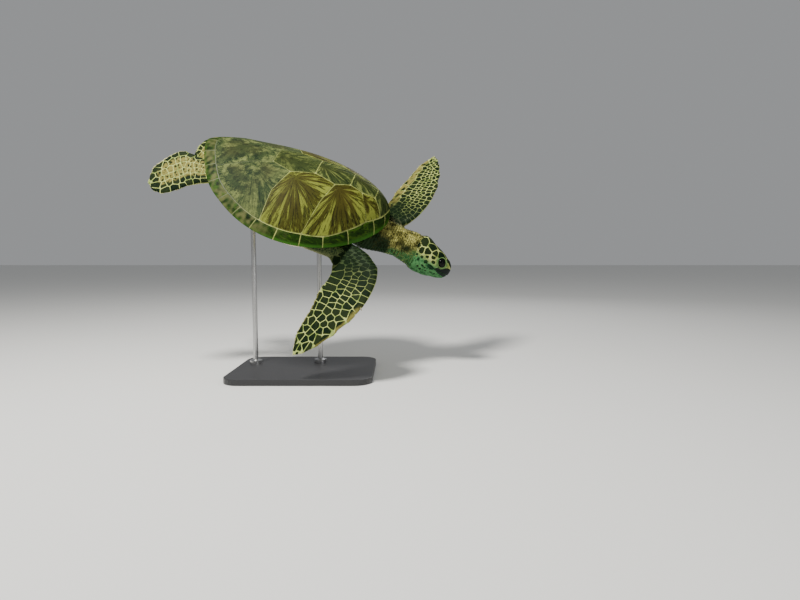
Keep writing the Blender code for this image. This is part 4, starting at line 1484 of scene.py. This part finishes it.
# %% Horn sheaths
BEAK_EDGE = (
    (0.026, -0.0150), (0.035, -0.0075), (0.048, -0.0030), (0.055, 0.0050), (0.061, 0.0085), (0.080, 0.0090),
)
JAW_EDGE = ((0.026, -0.0180), (0.034, -0.0215), (0.043, -0.0244), (0.059, -0.0246), (0.080, -0.0210))
BEAK_AXIS_X = 0.024
LIP_ROUND = 0.0011       # width over which a sheath rounds down at its edges
LIP_SINK = 0.0008        # how far its edges dip below the skin


def wrap_horn(name, top, bottom, finish, lift, sweep=84.0):
    """Sheath between two lines, given as heights by place along the head."""
    columns, rows = 150, 26
    spots = []
    guess = np.full(columns, 0.06)
    angles = np.radians(np.linspace(-sweep, sweep, columns))
    outward = HEAD.to_3x3()
    for row in range(rows):
        t = row / (rows - 1)
        for column, angle in enumerate(angles):
            aim = Vector((math.cos(angle), math.sin(angle), 0.0))
            x = guess[column]
            for _ in range(3):
                high, low = read_table(top, x), read_table(bottom, x)
                z = low + (high - low) * t
                start = HEAD @ (Vector((BEAK_AXIS_X, 0.0, z)) + aim * 0.12)
                place, _ = hit_skin(start, -(outward @ aim))
                if place is None:
                    break
                x = (HEAD_INVERSE @ place).x
            guess[column] = x
            side_end = (sweep - abs(math.degrees(angle))) * 0.0006
            inside = min(min(t, 1.0 - t) * abs(high - low), side_end)
            rounded = math.sqrt(1.0 - max(0.0, 1.0 - inside / LIP_ROUND) ** 2)
            spot = place if place else HEAD @ Vector((x, 0.0, z))
            spots.append(spot + (outward @ aim) * ((lift + LIP_SINK) * rounded - LIP_SINK))
    horn = piece(name, spots, grid_faces(rows, columns), finish)
    face_outward(horn)
    if horn.data.polygons[len(horn.data.polygons) // 2].normal.dot(outward @ Vector((1.0, 0.0, 0.0))) < 0.0:
        horn.data.flip_normals()
    return horn


MOUTH_TOP = tuple((x, z + 0.0006) for x, z in MOUTH_LINE)
MOUTH_BOTTOM = tuple((x, z - 0.0006) for x, z in MOUTH_LINE)
upper_horn = wrap_horn("beak_horn_upper", BEAK_EDGE, MOUTH_TOP, FINISH["beak"], 0.0007)
lower_horn = wrap_horn("beak_horn_lower", MOUTH_BOTTOM, JAW_EDGE, FINISH["jaw"], 0.0004, 78.0)
print("beak:", len(upper_horn.data.polygons) + len(lower_horn.data.polygons), "faces")

# %% Nostrils
NOSTRIL_PLACE = (0.0665, 0.0058, 0.0105)


def make_nostrils():
    """Two small dark openings just above the beak, each a sunken oval set in the skin."""
    spots, faces = [], []
    for side in (1.0, -1.0):
        aim = Vector((-0.85, -0.15 * side, -0.40)).normalized()
        middle = HEAD @ Vector((NOSTRIL_PLACE[0], side * NOSTRIL_PLACE[1], NOSTRIL_PLACE[2]))
        outward = HEAD.to_3x3() @ aim
        place, normal = hit_skin(middle - outward * 0.03, outward)
        if place is None:
            continue
        around = frame_of(place, normal, HEAD.to_3x3() @ Vector((0.0, side * 0.5, 1.0)))
        rows, columns = 8, 24
        start = len(spots)
        for row in range(rows):
            t = row / (rows - 1)
            for turn in turns_round(columns):
                oval = Vector((0.0, 0.0013 * math.cos(turn), 0.0021 * math.sin(turn))) * t
                spots.append(around @ (oval + Vector((0.0005 - 0.0011 * t * t, 0.0, 0.0))))
        faces += [tuple(start + index for index in face) for face in grid_faces(rows, columns, True)]
    return piece("nostrils", spots, faces, FINISH["nostril"])


nostrils = make_nostrils()
print("nostrils:", len(nostrils.data.polygons), "faces")

# %% [markdown]
# ## Scales
#
# Dark scales with pale skin between them cover the head and flippers. They are thin plates of horn
# that meet in straight sided cells, like mud that dried in flakes. So each patch of skin gets a flat
# chart, seeds are laid out in rows on it, and every seed's cell is cut off half way to each of its
# neighbours, nearer to the smaller one. The cell is rounded, crowned and laid on the skin by rays.
#
# Two kinds of chart are needed. A flipper is flat, so its chart looks straight down on it. Head and
# neck are round, so their chart is a roll of paper wrapped round an axis.

# %% Charts of the skin
EDGE_MARGIN = 0.0013     # bare skin left at the edge of a flipper


def part_tree(nodes):
    """Search tree of one limb's own skin, so that its scales never land on the neck or trunk."""
    return skin_tree(soft_region(nodes, 3) > 0.02)


class FlatChart:
    """Looks down on a flipper: first number along its span, second towards its leading edge."""

    def __init__(self, limb, under=False):
        self.matrix = LIMBS[limb]
        self.back = LIMBS_BACK[limb]
        self.side = -1.0 if under else 1.0
        self.span = SPAN[limb]
        spots = apply_matrix(self.back, SKIN_POINTS)[region_mask(LIMB_NODES[limb]) > 0]
        self.tree = part_tree(LIMB_NODES[limb])
        bins = [spots[np.abs(spots[:, 0] - stop) < 0.006] for stop in np.linspace(0.0, self.span, 40)]
        bins = [here for here in bins if len(here) > 3]
        self.stops = np.array([here[:, 0].mean() for here in bins])
        self.lead = np.array([here[:, 1].max() for here in bins])
        self.trail = np.array([here[:, 1].min() for here in bins])

    def width(self, along):
        """Distance between both edges of the flipper at a place along it."""
        return np.interp(along, self.stops, self.lead - self.trail)

    def spot(self, share, chord):
        """Chart point at a share of the span and a share of the width from the leading edge."""
        along = share * self.span
        lead = np.interp(along, self.stops, self.lead)
        return np.array((along, lead - chord * self.width(along)))

    def shares(self, point):
        """The reverse of spot."""
        lead = np.interp(point[0], self.stops, self.lead)
        return point[0] / self.span, (lead - point[1]) / max(self.width(point[0]), 1e-4)

    def keep_inside(self, points):
        """Points of the chart moved in from the flipper's edges."""
        along = np.clip(points[:, 0], self.stops[0], self.stops[-1] - 0.002)
        lead = np.interp(along, self.stops, self.lead) - EDGE_MARGIN
        trail = np.interp(along, self.stops, self.trail) + EDGE_MARGIN
        middle = (lead + trail) / 2.0
        low, high = np.minimum(trail, middle), np.maximum(lead, middle)
        return np.column_stack([along, np.clip(points[:, 1], low, high)])

    def project(self, point):
        """Place and normal on the skin, straight below the chart or nearest to that."""
        start = self.matrix @ Vector((point[0], point[1], 0.15 * self.side))
        aim = self.matrix.to_3x3() @ Vector((0.0, 0.0, -self.side))
        place, normal, _, _ = self.tree.ray_cast(start, aim, 0.3)
        if place is None:
            place, normal, _, _ = self.tree.find_nearest(start + aim * 0.15)
        return place, normal

    def atlas(self, point):
        """Place of a point of the chart on the atlas of the scales."""
        share, chord = self.shares(point)
        return 0.05 + 0.85 * share, (0.52 if self.side < 0.0 else 0.03) + 0.44 * chord


class RollChart:
    """Wrapped round an axis: first number along it, second round it from the top, at one radius."""

    def __init__(self, matrix, radius, low, high, tree=None):
        self.matrix = matrix
        self.radius = radius
        self.low, self.high = low, high
        self.tree = SKIN_TREE if tree is None else tree

    def keep_inside(self, points):
        """A roll has no edges to keep away from."""
        return points

    def project(self, point):
        """Place and normal where a ray towards the axis meets the skin, or two times None."""
        angle = point[1] / self.radius
        out = Vector((0.0, math.sin(angle), math.cos(angle)))
        start = self.matrix @ (Vector((point[0], 0.0, 0.0)) + out * 0.14)
        place, normal, _, _ = self.tree.ray_cast(start, -(self.matrix.to_3x3() @ out), 0.2)
        return place, normal

    def atlas(self, point):
        """Place of a point of the chart on the atlas of the scales."""
        share = (point[0] - self.low) / (self.high - self.low)
        return 0.05 + 0.9 * share, 0.5 + 0.9 * point[1] / (math.tau * self.radius)


# %% Cells between seeds
def seed_scale(place, along, across, turn=0.0, height=0.00045, tone=0.5):
    """One scale to come: its place on the chart, half sizes and the angle of its long side."""
    return {
        "place": np.array(place), "along": along, "across": across, "turn": turn,
        "height": height, "tone": tone,
    }


def reach_towards(seed, heading):
    """Half size of a seed's oval in one direction."""
    angle = heading - seed["turn"]
    return 1.0 / math.hypot(math.cos(angle) / seed["along"], math.sin(angle) / seed["across"])


def cut_off(polygon, heading, limit):
    """Keep the part of a polygon that lies short of a line at a distance in a direction."""
    facing = np.array((math.cos(heading), math.sin(heading)))
    depth = polygon @ facing - limit
    kept = []
    following = np.roll(polygon, -1, axis=0)
    for here, there, inside, after in zip(polygon, following, depth, np.roll(depth, -1)):
        if inside <= 0.0:
            kept.append(here)
        if (inside < 0.0) != (after < 0.0):
            kept.append(here + (there - here) * inside / (inside - after))
    return np.array(kept) if len(kept) >= 3 else polygon[:0]


def cell_outline(seed, neighbours, gap):
    """Outline of a scale round its own centre: a rounded box, cut half way to its neighbours."""
    turns = np.linspace(0.0, math.tau, 28, endpoint=False)
    power = seed.get("power", 0.75)
    box = np.column_stack([
        seed["along"] * np.sign(np.cos(turns)) * np.abs(np.cos(turns)) ** power,
        seed["across"] * np.sign(np.sin(turns)) * np.abs(np.sin(turns)) ** power,
    ])
    cos, sin = math.cos(seed["turn"]), math.sin(seed["turn"])
    polygon = box @ np.array(((cos, sin), (-sin, cos)))
    for other in neighbours:
        away = other["place"] - seed["place"]
        distance = float(np.hypot(*away))
        if distance < 1e-6:
            continue
        heading = math.atan2(away[1], away[0])
        mine = reach_towards(seed, heading)
        theirs = reach_towards(other, heading + math.pi)
        polygon = cut_off(polygon, heading, distance * mine / (mine + theirs) - gap / 2.0)
        if len(polygon) < 3:
            break
    return polygon


# %% Build one piece of scales
# distance in from a scale's outline, and the height there as a share of the scale's own height
PLATE_ROWS = ((0.0, -1.4), (0.0, 0.0), (0.00025, 0.62), (0.0007, 0.90), (0.0014, 1.0))
RIM_WIDTH = 0.0012       # rim of a scale that the look can colour by itself
CROWN_INSET = 0.003      # stands for the inner rings, which are all beyond the rim
SMALLEST = 0.0009        # a scale with less mean reach than this is left out
PATCH_SIZE = 0.0014      # half size of one scale on the atlas


def scale_rings(loop, reach, rows):
    """Rings of a scale from its outline to its centre: their points, height and distance in."""
    middle = loop.mean(axis=0)
    rings = []
    for inset, lift in rows:
        share = 1.0 - np.minimum(inset / np.maximum(reach, 1e-5), 0.5)
        rings.append((middle + (loop - middle) * share[:, None], lift, inset))
    for inward in (0.66, 0.33) if len(rows) > 4 else (0.5,):
        rings.append((middle + (loop - middle) * (share * inward)[:, None], 1.06, CROWN_INSET))
    rings.append((middle[None, :], 1.08, CROWN_INSET))
    return rings


def lay_scale(chart, seed, rings, longest, tan):
    """Place, rim, warmth and atlas place of a scale's points, or nothing if it leaves the skin."""
    root = chart.atlas(seed["place"])
    laid = []
    for ring, lift, inset in rings:
        for local in ring:
            point = seed["place"] + local
            place, normal = chart.project(point)
            if place is None:
                return []
            spot = place + normal * (lift * seed["height"])
            warm = tan(chart, point) if tan else 0.0
            patch = local / longest * PATCH_SIZE
            rim = 1.0 - min(1.0, inset / RIM_WIDTH)
            laid.append((spot, rim, warm, (root[0] + patch[0], root[1] + patch[1])))
    return laid


def build_scales(name, chart, seeds, finish, gap=0.0026, spacing=0.0016, tan=None,
                 rows=PLATE_ROWS, leafy=False, shade_and_patch=None):
    """Make a scale round every seed of a chart, all joined in one piece."""
    tree = KDTree(len(seeds))
    for number, seed in enumerate(seeds):
        tree.insert((*seed["place"], 0.0), number)
    tree.balance()
    laid, faces, shade = [], [], []
    for number, seed in enumerate(seeds):
        near = tree.find_n((*seed["place"], 0.0), 14)
        others = [seeds[index] for _, index, _ in near if index != number]
        polygon = cell_outline(seed, others, seed.get("gap", gap))
        if len(polygon) < 3:
            continue
        polygon = chart.keep_inside(polygon + seed["place"]) - seed["place"]
        loop = soften_corners(resample_closed(polygon, spacing)[0], 1)
        reach = np.linalg.norm(loop - loop.mean(axis=0), axis=1)
        if reach.mean() < SMALLEST:
            continue
        rings = scale_rings(loop, reach, rows)
        added = lay_scale(chart, seed, rings, reach.max(), tan)
        if not added:
            continue
        start, columns = len(laid), len(loop)
        ring_faces = grid_faces(len(rings) - 1, columns, True)
        faces += [tuple(start + index for index in face) for face in ring_faces]
        centre = start + len(added) - 1
        last = centre - columns
        faces += [(last + column, last + (column + 1) % columns, centre) for column in range(columns)]
        laid += added
        shade += [seed["tone"]] * len(added)
    spots, rim, warm, uvs = (list(values) for values in zip(*laid))
    scales = piece(name, spots, faces, finish)
    leaf = leaf_zone(np.array(spots)) if leafy else np.zeros(len(spots))
    # painted shade for the scales, with the cheek's own dark patch on the neck pads
    dark = shade_and_patch(np.array(spots)) if shade_and_patch else np.zeros(len(spots))
    for key, values in (("rim", rim), ("shade", shade), ("tan", warm), ("leaf", leaf), ("hollow", dark)):
        point_values(scales, key, values)
    layer = scales.data.uv_layers.new(name="OFBake")
    corner = np.empty(len(scales.data.loops), dtype=np.int64)
    scales.data.loops.foreach_get("vertex_index", corner)
    layer.data.foreach_set("uv", np.array(uvs)[corner].reshape(-1))
    face_outward(scales)
    print(name, "has", len(scales.data.polygons), "faces")


# %% [markdown]
# ### Flipper scales
#
# A front flipper has rows of scales that run from the shoulder to the tip. The rows at both edges
# are the largest, and the scales grow from fine grains at the shoulder to long plates at the tip. A
# hind flipper is a smaller paddle with the same plan.

# %% Rows of the flippers
# chord share, spacing at the shoulder, in the arm and in the blade, first and last share of the span
FRONT_ROWS = (
    (0.085, 0.020, 0.048, 0.120, 0.03, 0.985),
    (0.250, 0.019, 0.040, 0.062, 0.03, 0.975),
    (0.415, 0.019, 0.032, 0.052, 0.03, 0.965),
    (0.595, 0.024, 0.034, 0.054, 0.05, 0.945),
    (0.775, 0.056, 0.054, 0.064, 0.06, 0.930),
    (0.930, 0.060, 0.058, 0.066, 0.10, 0.920),
)
FAR_ROWS = (
    (0.055, 0.030, 0.048, 0.060, 0.05, 0.985),
    (0.165, 0.028, 0.036, 0.042, 0.05, 0.975),
    (0.285, 0.026, 0.028, 0.034, 0.06, 0.970),
    (0.400, 0.026, 0.026, 0.032, 0.06, 0.965),
    (0.520, 0.028, 0.030, 0.036, 0.08, 0.960),
    (0.665, 0.036, 0.044, 0.050, 0.10, 0.950),
    (0.860, 0.060, 0.075, 0.080, 0.14, 0.930),
)
HIND_ROWS = (
    (0.070, 0.070, 0.090, 0.105, 0.20, 0.985),
    (0.240, 0.050, 0.065, 0.085, 0.18, 0.965),
    (0.420, 0.040, 0.048, 0.065, 0.16, 0.955),
    (0.590, 0.040, 0.048, 0.065, 0.16, 0.955),
    (0.760, 0.050, 0.060, 0.080, 0.20, 0.955),
    (0.920, 0.070, 0.085, 0.100, 0.26, 0.950),
)


SCALE_FILL = 0.68        # half sizes of a scale as a share of the room it has


def limb_seeds(chart, rows, seed_number, merge=0.0):
    """Seeds in rows along a flipper, spaced more widely towards the tip.

    Up to the share merge, one row of broad plates takes the place of the two trailing rows."""
    chance = random.Random(seed_number)
    seeds = []
    for number, (chord, fine, middle, coarse, first, last) in enumerate(rows):
        gap_below = (rows[number + 1][0] - chord) if number + 1 < len(rows) else (1.0 - chord)
        gap_above = chord - rows[number - 1][0] if number else chord
        share = first + chance.uniform(0.0, fine)
        while share < last:
            spacing = float(np.interp(share, (0.12, 0.30, 0.45, 0.62), (fine, middle, middle, coarse)))
            spacing *= chance.uniform(0.82, 1.22) * (1.0 + 0.5 * smoothstep(0.72, 0.90, share))
            broad = share < merge and number >= len(rows) - 2
            if broad and number == len(rows) - 1:
                share += spacing
                continue
            f = (0.82 if broad else chord) + chance.uniform(-0.03, 0.03)
            place = chart.spot(share + spacing / 2.0, f)
            width = chart.width(place[0])
            across = 0.5 * (gap_below + gap_above) * width * (1.35 if chord > 0.12 else 1.25)
            across *= 1.5 if broad else 1.0
            height = 0.00030 + 0.00025 * min(1.0, share * 2.0)
            tone = chance.random()
            along = SCALE_FILL * spacing * chart.span
            made = seed_scale(place, along, SCALE_FILL * across, 0.0, height, tone)
            made["gap"] = float(np.interp(share, (0.10, 0.35, 0.6), (0.0009, 0.0014, 0.0022)))
            made["power"] = 0.45
            seeds.append(made)
            share += spacing
    return seeds


def front_tan(chart, point):
    """Warm along both edges of the near front flipper."""
    share, chord = chart.shares(point)
    lead = smoothstep(0.17, 0.04, chord) * smoothstep(0.42, 0.58, share)
    trail = smoothstep(0.90, 0.99, chord) * smoothstep(0.35, 0.50, share)
    return float(max(0.62 * lead, 0.50 * trail))


def far_tan(chart, point):
    """Warm by patches in the trailing half of the far front flipper."""
    share, chord = chart.shares(point)
    trail = smoothstep(0.62, 0.86, chord) * smoothstep(0.10, 0.25, share)
    patch = 0.62 + 0.9 * noise.noise(Vector((point[0], point[1], 0.0)) / 0.014)
    return float(min(0.85, max(0.0, patch)) * trail)


def hind_tan(chart, point):
    """Warm by spots in the middle of a hind flipper."""
    share, chord = chart.shares(point)
    middle = smoothstep(0.16, 0.34, chord) * smoothstep(0.90, 0.72, chord)
    middle *= smoothstep(0.92, 0.78, share)
    spotty = 0.72 + 1.3 * noise.noise(Vector((point[0], point[1], 0.0)) / 0.008)
    return float(min(0.95, max(0.0, spotty) * middle))


for limb, rows, tan, number in (
    ("front_right", FRONT_ROWS, front_tan, 5), ("front_left", FAR_ROWS, far_tan, 8),
    ("hind_right", HIND_ROWS, hind_tan, 11), ("hind_left", HIND_ROWS, hind_tan, 14),
):
    upper, under = FlatChart(limb), FlatChart(limb, under=True)
    above = limb_seeds(upper, rows, number, merge=0.44 if limb == "front_right" else 0.0)
    build_scales(limb + "_scales", upper, above, FINISH["scale"], tan=tan, shade_and_patch=shade_below)
    below = limb_seeds(under, rows, number + 40)
    build_scales(limb + "_under_scales", under, below, FINISH["belly_scale"], shade_and_patch=shade_below)

# %% [markdown]
# ### Head shields
#
# The shields of the head follow a set plan: a pair of long ones over the snout, one on the forehead,
# a large one over each eye, the crown behind, and smaller ones down the cheek that become islands in
# pale skin. The table gives their centre along the head, the angle from the crown line, half length
# and half width in millimetres, and how far they are turned. The first three lie on the crown line,
# and both sides have all others.

# %% Head shields
HEAD_ROLL = 0.040
SHIELD_HEIGHT = 0.0006
SHIELDS = (
    (33.0, 0.0, 16.0, 13.0, 0.0), (4.0, 0.0, 24.0, 17.0, 0.0), (-58.0, 0.0, 13.0, 14.0, 0.0),
    (52.0, 16.0, 16.0, 13.0, 0.0), (24.0, 38.0, 22.0, 14.0, 0.0), (-17.0, 37.0, 21.0, 14.0, -8.0),
    (-31.0, 12.0, 22.0, 15.0, 0.0), (-46.0, 42.0, 15.0, 14.0, 0.0), (-56.0, 64.0, 6.0, 7.0, 0.0),
    (-40.0, 74.0, 8.5, 11.0, 0.0), (-22.0, 65.0, 12.5, 10.0, -20.0), (1.5, 51.0, 12.0, 9.5, 0.0),
    (3.5, 71.0, 7.6, 6.6, 0.0), (-14.5, 84.0, 5.8, 4.8, -10.0), (-28.0, 98.0, 5.2, 4.8, 0.0),
    (-34.0, 112.0, 4.2, 5.2, 0.0), (-9.5, 106.0, 6.6, 6.0, -20.0), (-12.0, 126.0, 4.6, 3.4, 0.0),
    (-13.5, 142.0, 4.4, 3.2, 0.0), (11.5, 89.0, 7.0, 6.0, 0.0), (12.5, 116.0, 12.5, 6.6, 12.0),
    (-2.0, 128.0, 3.4, 2.6, 0.0), (-24.0, 136.0, 3.6, 2.8, 0.0), (-46.0, 100.0, 4.0, 4.4, 0.0),
    (34.0, 140.0, 3.4, 2.4, 0.0), (20.0, 138.0, 3.2, 2.4, 0.0), (5.0, 140.0, 3.2, 2.4, 0.0),
)


def head_seeds():
    """Seeds of the shields, further apart down the cheeks."""
    chance = random.Random(3)
    seeds = []
    for x, angle, along, across, turn in SHIELDS:
        for side in (1.0, -1.0) if angle else (1.0,):
            place = (x / 1000.0, side * math.radians(angle) * HEAD_ROLL)
            lean = side * math.radians(turn)
            tone = chance.random()
            made = seed_scale(place, along / 1000.0, across / 1000.0, lean, SHIELD_HEIGHT, tone)
            made["gap"] = 0.0022 if angle < 60.0 else 0.0028
            seeds.append(made)
    return seeds


head_chart = RollChart(HEAD @ Matrix.Translation((0.0, 0.0, -0.002)), HEAD_ROLL, -0.075, 0.085)
build_scales("head_scales", head_chart, head_seeds(), FINISH["scale"], leafy=True)

# %% [markdown]
# ### Pads of the neck
#
# The skin of the neck is soft, so its scales stay small: low pads, longer round the neck than along
# it, one row to each fold. Rows of seeds on a roll chart make them, with random lengths so that the
# joints of neighbouring rows never line up.

# %% Neck pads
NECK_START = (0.235, 0.0, 0.004)
NECK_TURN = frame_of(NECK_START, (0.225, -0.002, -0.014), (0.0, 0.0, 1.0))
NECK_ROLL = 0.047
NECK_LONG = 0.190


def neck_seeds():
    """Rows of pads round the neck, of random lengths."""
    chance = random.Random(9)
    seeds = []
    x = 0.012
    while x < NECK_LONG:
        angle = -math.pi + chance.uniform(0.0, 0.3)
        step = 0.0056 + 0.0014 * smoothstep(0.15, 0.05, x)
        while angle < math.pi:
            length = chance.uniform(0.0065, 0.0135)
            middle = angle + length / 2.0 / NECK_ROLL
            wander = 0.0016 * math.sin(3.0 * middle + x * 60.0) + chance.uniform(-0.0008, 0.0008)
            place = (x + wander, middle * NECK_ROLL)
            tone = min(1.0, max(0.0, chance.gauss(0.5, 0.3)))
            lean = chance.uniform(-0.25, 0.25)
            seeds.append(seed_scale(place, step * 0.60, length * 0.62, lean, 0.0005, tone))
            angle += length / NECK_ROLL
        x += step
    return seeds


class NeckChart(RollChart):
    """Roll chart that only accepts the neck's own skin, not the shell's edge or the shoulders."""

    def __init__(self, *values):
        super().__init__(*values)
        self.own = skin_tree(soft_region(sum(LIMB_NODES.values(), []), 3) <= 0.25)

    def project(self, point):
        place, normal = super().project(point)
        if place is None or (self.matrix.inverted() @ place).yz.length > 0.085:
            return None, None
        if self.own.find_nearest(place)[3] > 0.0005:
            return None, None
        return place, normal


def neck_tan(chart, point):
    """Warm and pale on top of the neck, by patches."""
    patch = 0.5 + 0.9 * noise.noise(Vector((point[0], point[1], 1.0)) / 0.016)
    return float(min(0.9, max(0.0, patch)))


def neck_shade_and_patch(spots):
    """Painted shade on the pads in the valleys of the folds and in the hollow beside the neck, and the
    cheek's own dark patch.
    """
    valley = smoothstep(0.1, -0.7, neck_folds(apply_matrix(BODY_INVERSE, spots)))
    return np.clip(np.maximum(hollow_shade_and_patch(spots), 0.8 * valley), 0.0, 0.95)


PAD_ROWS = ((0.0, -1.2), (0.0002, 0.45), (0.0009, 1.0))
neck_chart = NeckChart(BODY @ NECK_TURN, NECK_ROLL, 0.0, 0.20)
build_scales(
    "neck_scales", neck_chart, neck_seeds(), FINISH["neck_scale"], gap=0.0010, spacing=0.0021,
    tan=neck_tan, rows=PAD_ROWS, leafy=True, shade_and_patch=neck_shade_and_patch,
)

# %% [markdown]
# ### Tail and claws
#
# The tail is a short cone under the shell with small scales all round. Each flipper carries one
# claw on its leading edge, a flat little hook of horn: a tapering tube whose middle line bends.

# %% Tail scales
TAIL_ROOT = (-0.212, 0.003, -0.008)
TAIL_AIM = (-0.105, 0.0, -0.014)
TAIL_ROLL = 0.014
TAIL_LONG = 0.100


def tail_seeds():
    """Rings of seeds round the tail, each turned by half a scale against the one before."""
    chance = random.Random(21)
    seeds = []
    step = 0.0085
    for row in range(int(TAIL_LONG / step)):
        count = 9 if row < 8 else 6
        for number in range(count):
            angle = math.tau * (number + 0.5 * (row % 2)) / count - math.pi
            place = (0.004 + row * step + chance.uniform(-0.001, 0.001), angle * TAIL_ROLL)
            across = math.pi * TAIL_ROLL / count * 1.3
            seeds.append(seed_scale(place, step * 0.60, across, 0.0, 0.0004, chance.random()))
    return seeds


tail_frame = BODY @ frame_of(TAIL_ROOT, TAIL_AIM, (0.0, 0.0, 1.0))
tail_chart = RollChart(tail_frame, TAIL_ROLL, 0.0, TAIL_LONG, part_tree(["tail"]))
build_scales("tail_scales", tail_chart, tail_seeds(), FINISH["scale"], gap=0.0016)

# %% Claws
CLAWS = {"front_right": 0.52, "front_left": 0.52, "hind_right": 0.60, "hind_left": 0.60}
CLAW_LENGTH = 0.0105
CLAW_WIDTH = 0.0066
CLAW_BEND = math.radians(78.0)


def claw_part(limb, share):
    """A flattened, bent cone that leaves the leading edge and hooks towards the tip."""
    chart = FlatChart(limb)
    place = chart.spot(share, 0.0)
    upper, _ = chart.project(chart.spot(share, 0.012 / chart.width(place[0])))
    lower, _ = FlatChart(limb, under=True).project(chart.spot(share, 0.012 / chart.width(place[0])))
    level = (chart.back @ ((upper + lower) / 2.0)).z
    root = np.array((place[0], place[1] - 0.0065, level))
    rows, columns = 16, 20
    spots = []
    for row in range(rows):
        t = row / (rows - 1)
        bend = CLAW_BEND * t
        middle = np.array((1.0 - math.cos(bend), math.sin(bend), 0.0)) * CLAW_LENGTH / CLAW_BEND
        sideways = np.array((math.cos(bend), -math.sin(bend), 0.0))
        ring = 0.5 * CLAW_WIDTH * (1.0 - t) ** 0.7
        for turn in turns_round(columns):
            offset = sideways * ring * math.cos(turn) + np.array((0.0, 0.0, 0.55 * ring * math.sin(turn)))
            spots.append(root + middle + offset)
    return apply_matrix(chart.matrix, np.array(spots)), grid_faces(rows, columns, True), {}


claws = join_parts("claws", [claw_part(limb, share) for limb, share in CLAWS.items()], FINISH["claw"])
print("claws:", len(claws.data.polygons), "faces")

# %% [markdown]
# ## The stand
#
# The base and the two rods keep their solids, because turned steel and a sawn board are exactly the
# shapes that the solids have. They only get better materials.

# %% Finish the stand
for name in sorted(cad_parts):
    if name.startswith("stand_"):
        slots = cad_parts[name].material_slots
        for slot in slots:
            slot.material = FINISH["board" if name == "stand_base" else "rod"]
        print(name, "has", len(slots), "material slot")

# %% [markdown]
# ## Studio
#
# A pale floor, a pale world and three large soft lights: a key from the upper left front, a fill
# from the right and a gentle light behind that draws the edge of the shell.

# %% Floor, light and camera
FLOOR_REACH = 14.0
floor_z = float(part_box("stand_base")[0][2])


def make_floor():
    """One large pale square under the stand."""
    mesh = bpy.data.meshes.new("floor")
    corners = [(x * FLOOR_REACH, y * FLOOR_REACH, floor_z) for x, y in ((-1, -1), (1, -1), (1, 1), (-1, 1))]
    mesh.from_pydata(corners, [], [(0, 1, 2, 3)])
    made, tree, shader = material("studio_floor", 0.9)
    shader.inputs["Base Color"].default_value = rgb(0.74, 0.74, 0.72)
    mesh.materials.append(made)
    obj = bpy.data.objects.new("floor", mesh)
    bpy.context.scene.collection.objects.link(obj)


def area_light(name, place, target, size, watts, colour=(1.0, 1.0, 1.0)):
    """A round soft light that looks at a target."""
    lamp = bpy.data.lights.new(name, "AREA")
    lamp.shape = "DISK"
    lamp.size = size
    lamp.energy = watts
    lamp.color = colour
    obj = bpy.data.objects.new(name, lamp)
    obj.location = place
    obj.rotation_euler = (Vector(target) - Vector(place)).to_track_quat("-Z", "Y").to_euler()
    bpy.context.scene.collection.objects.link(obj)


make_floor()
area_light("key", (-0.7, -1.3, 2.7), (0.0, 0.0, 0.5), 0.6, 150.0, (1.0, 0.98, 0.93))
area_light("fill", (1.9, -2.2, 1.2), (0.1, 0.0, 0.45), 1.6, 15.0)
area_light("back", (0.9, 2.2, 1.9), (0.0, 0.0, 0.5), 1.4, 12.0)

world = bpy.data.worlds.new("studio")
world.use_nodes = True
sky = world.node_tree.nodes["Background"]
sky.inputs["Color"].default_value = rgb(0.86, 0.88, 0.90)
sky.inputs["Strength"].default_value = 0.36
bpy.context.scene.world = world

view = bpy.data.cameras.new("camera")
view.lens = 25.0
view.sensor_width = 36.0
camera = bpy.data.objects.new("camera", view)
camera.location = (0.3021, -1.7505, 0.3863)
camera.rotation_euler = (math.radians(85.0), 0.0, 0.0)
bpy.context.scene.collection.objects.link(camera)
bpy.context.scene.camera = camera
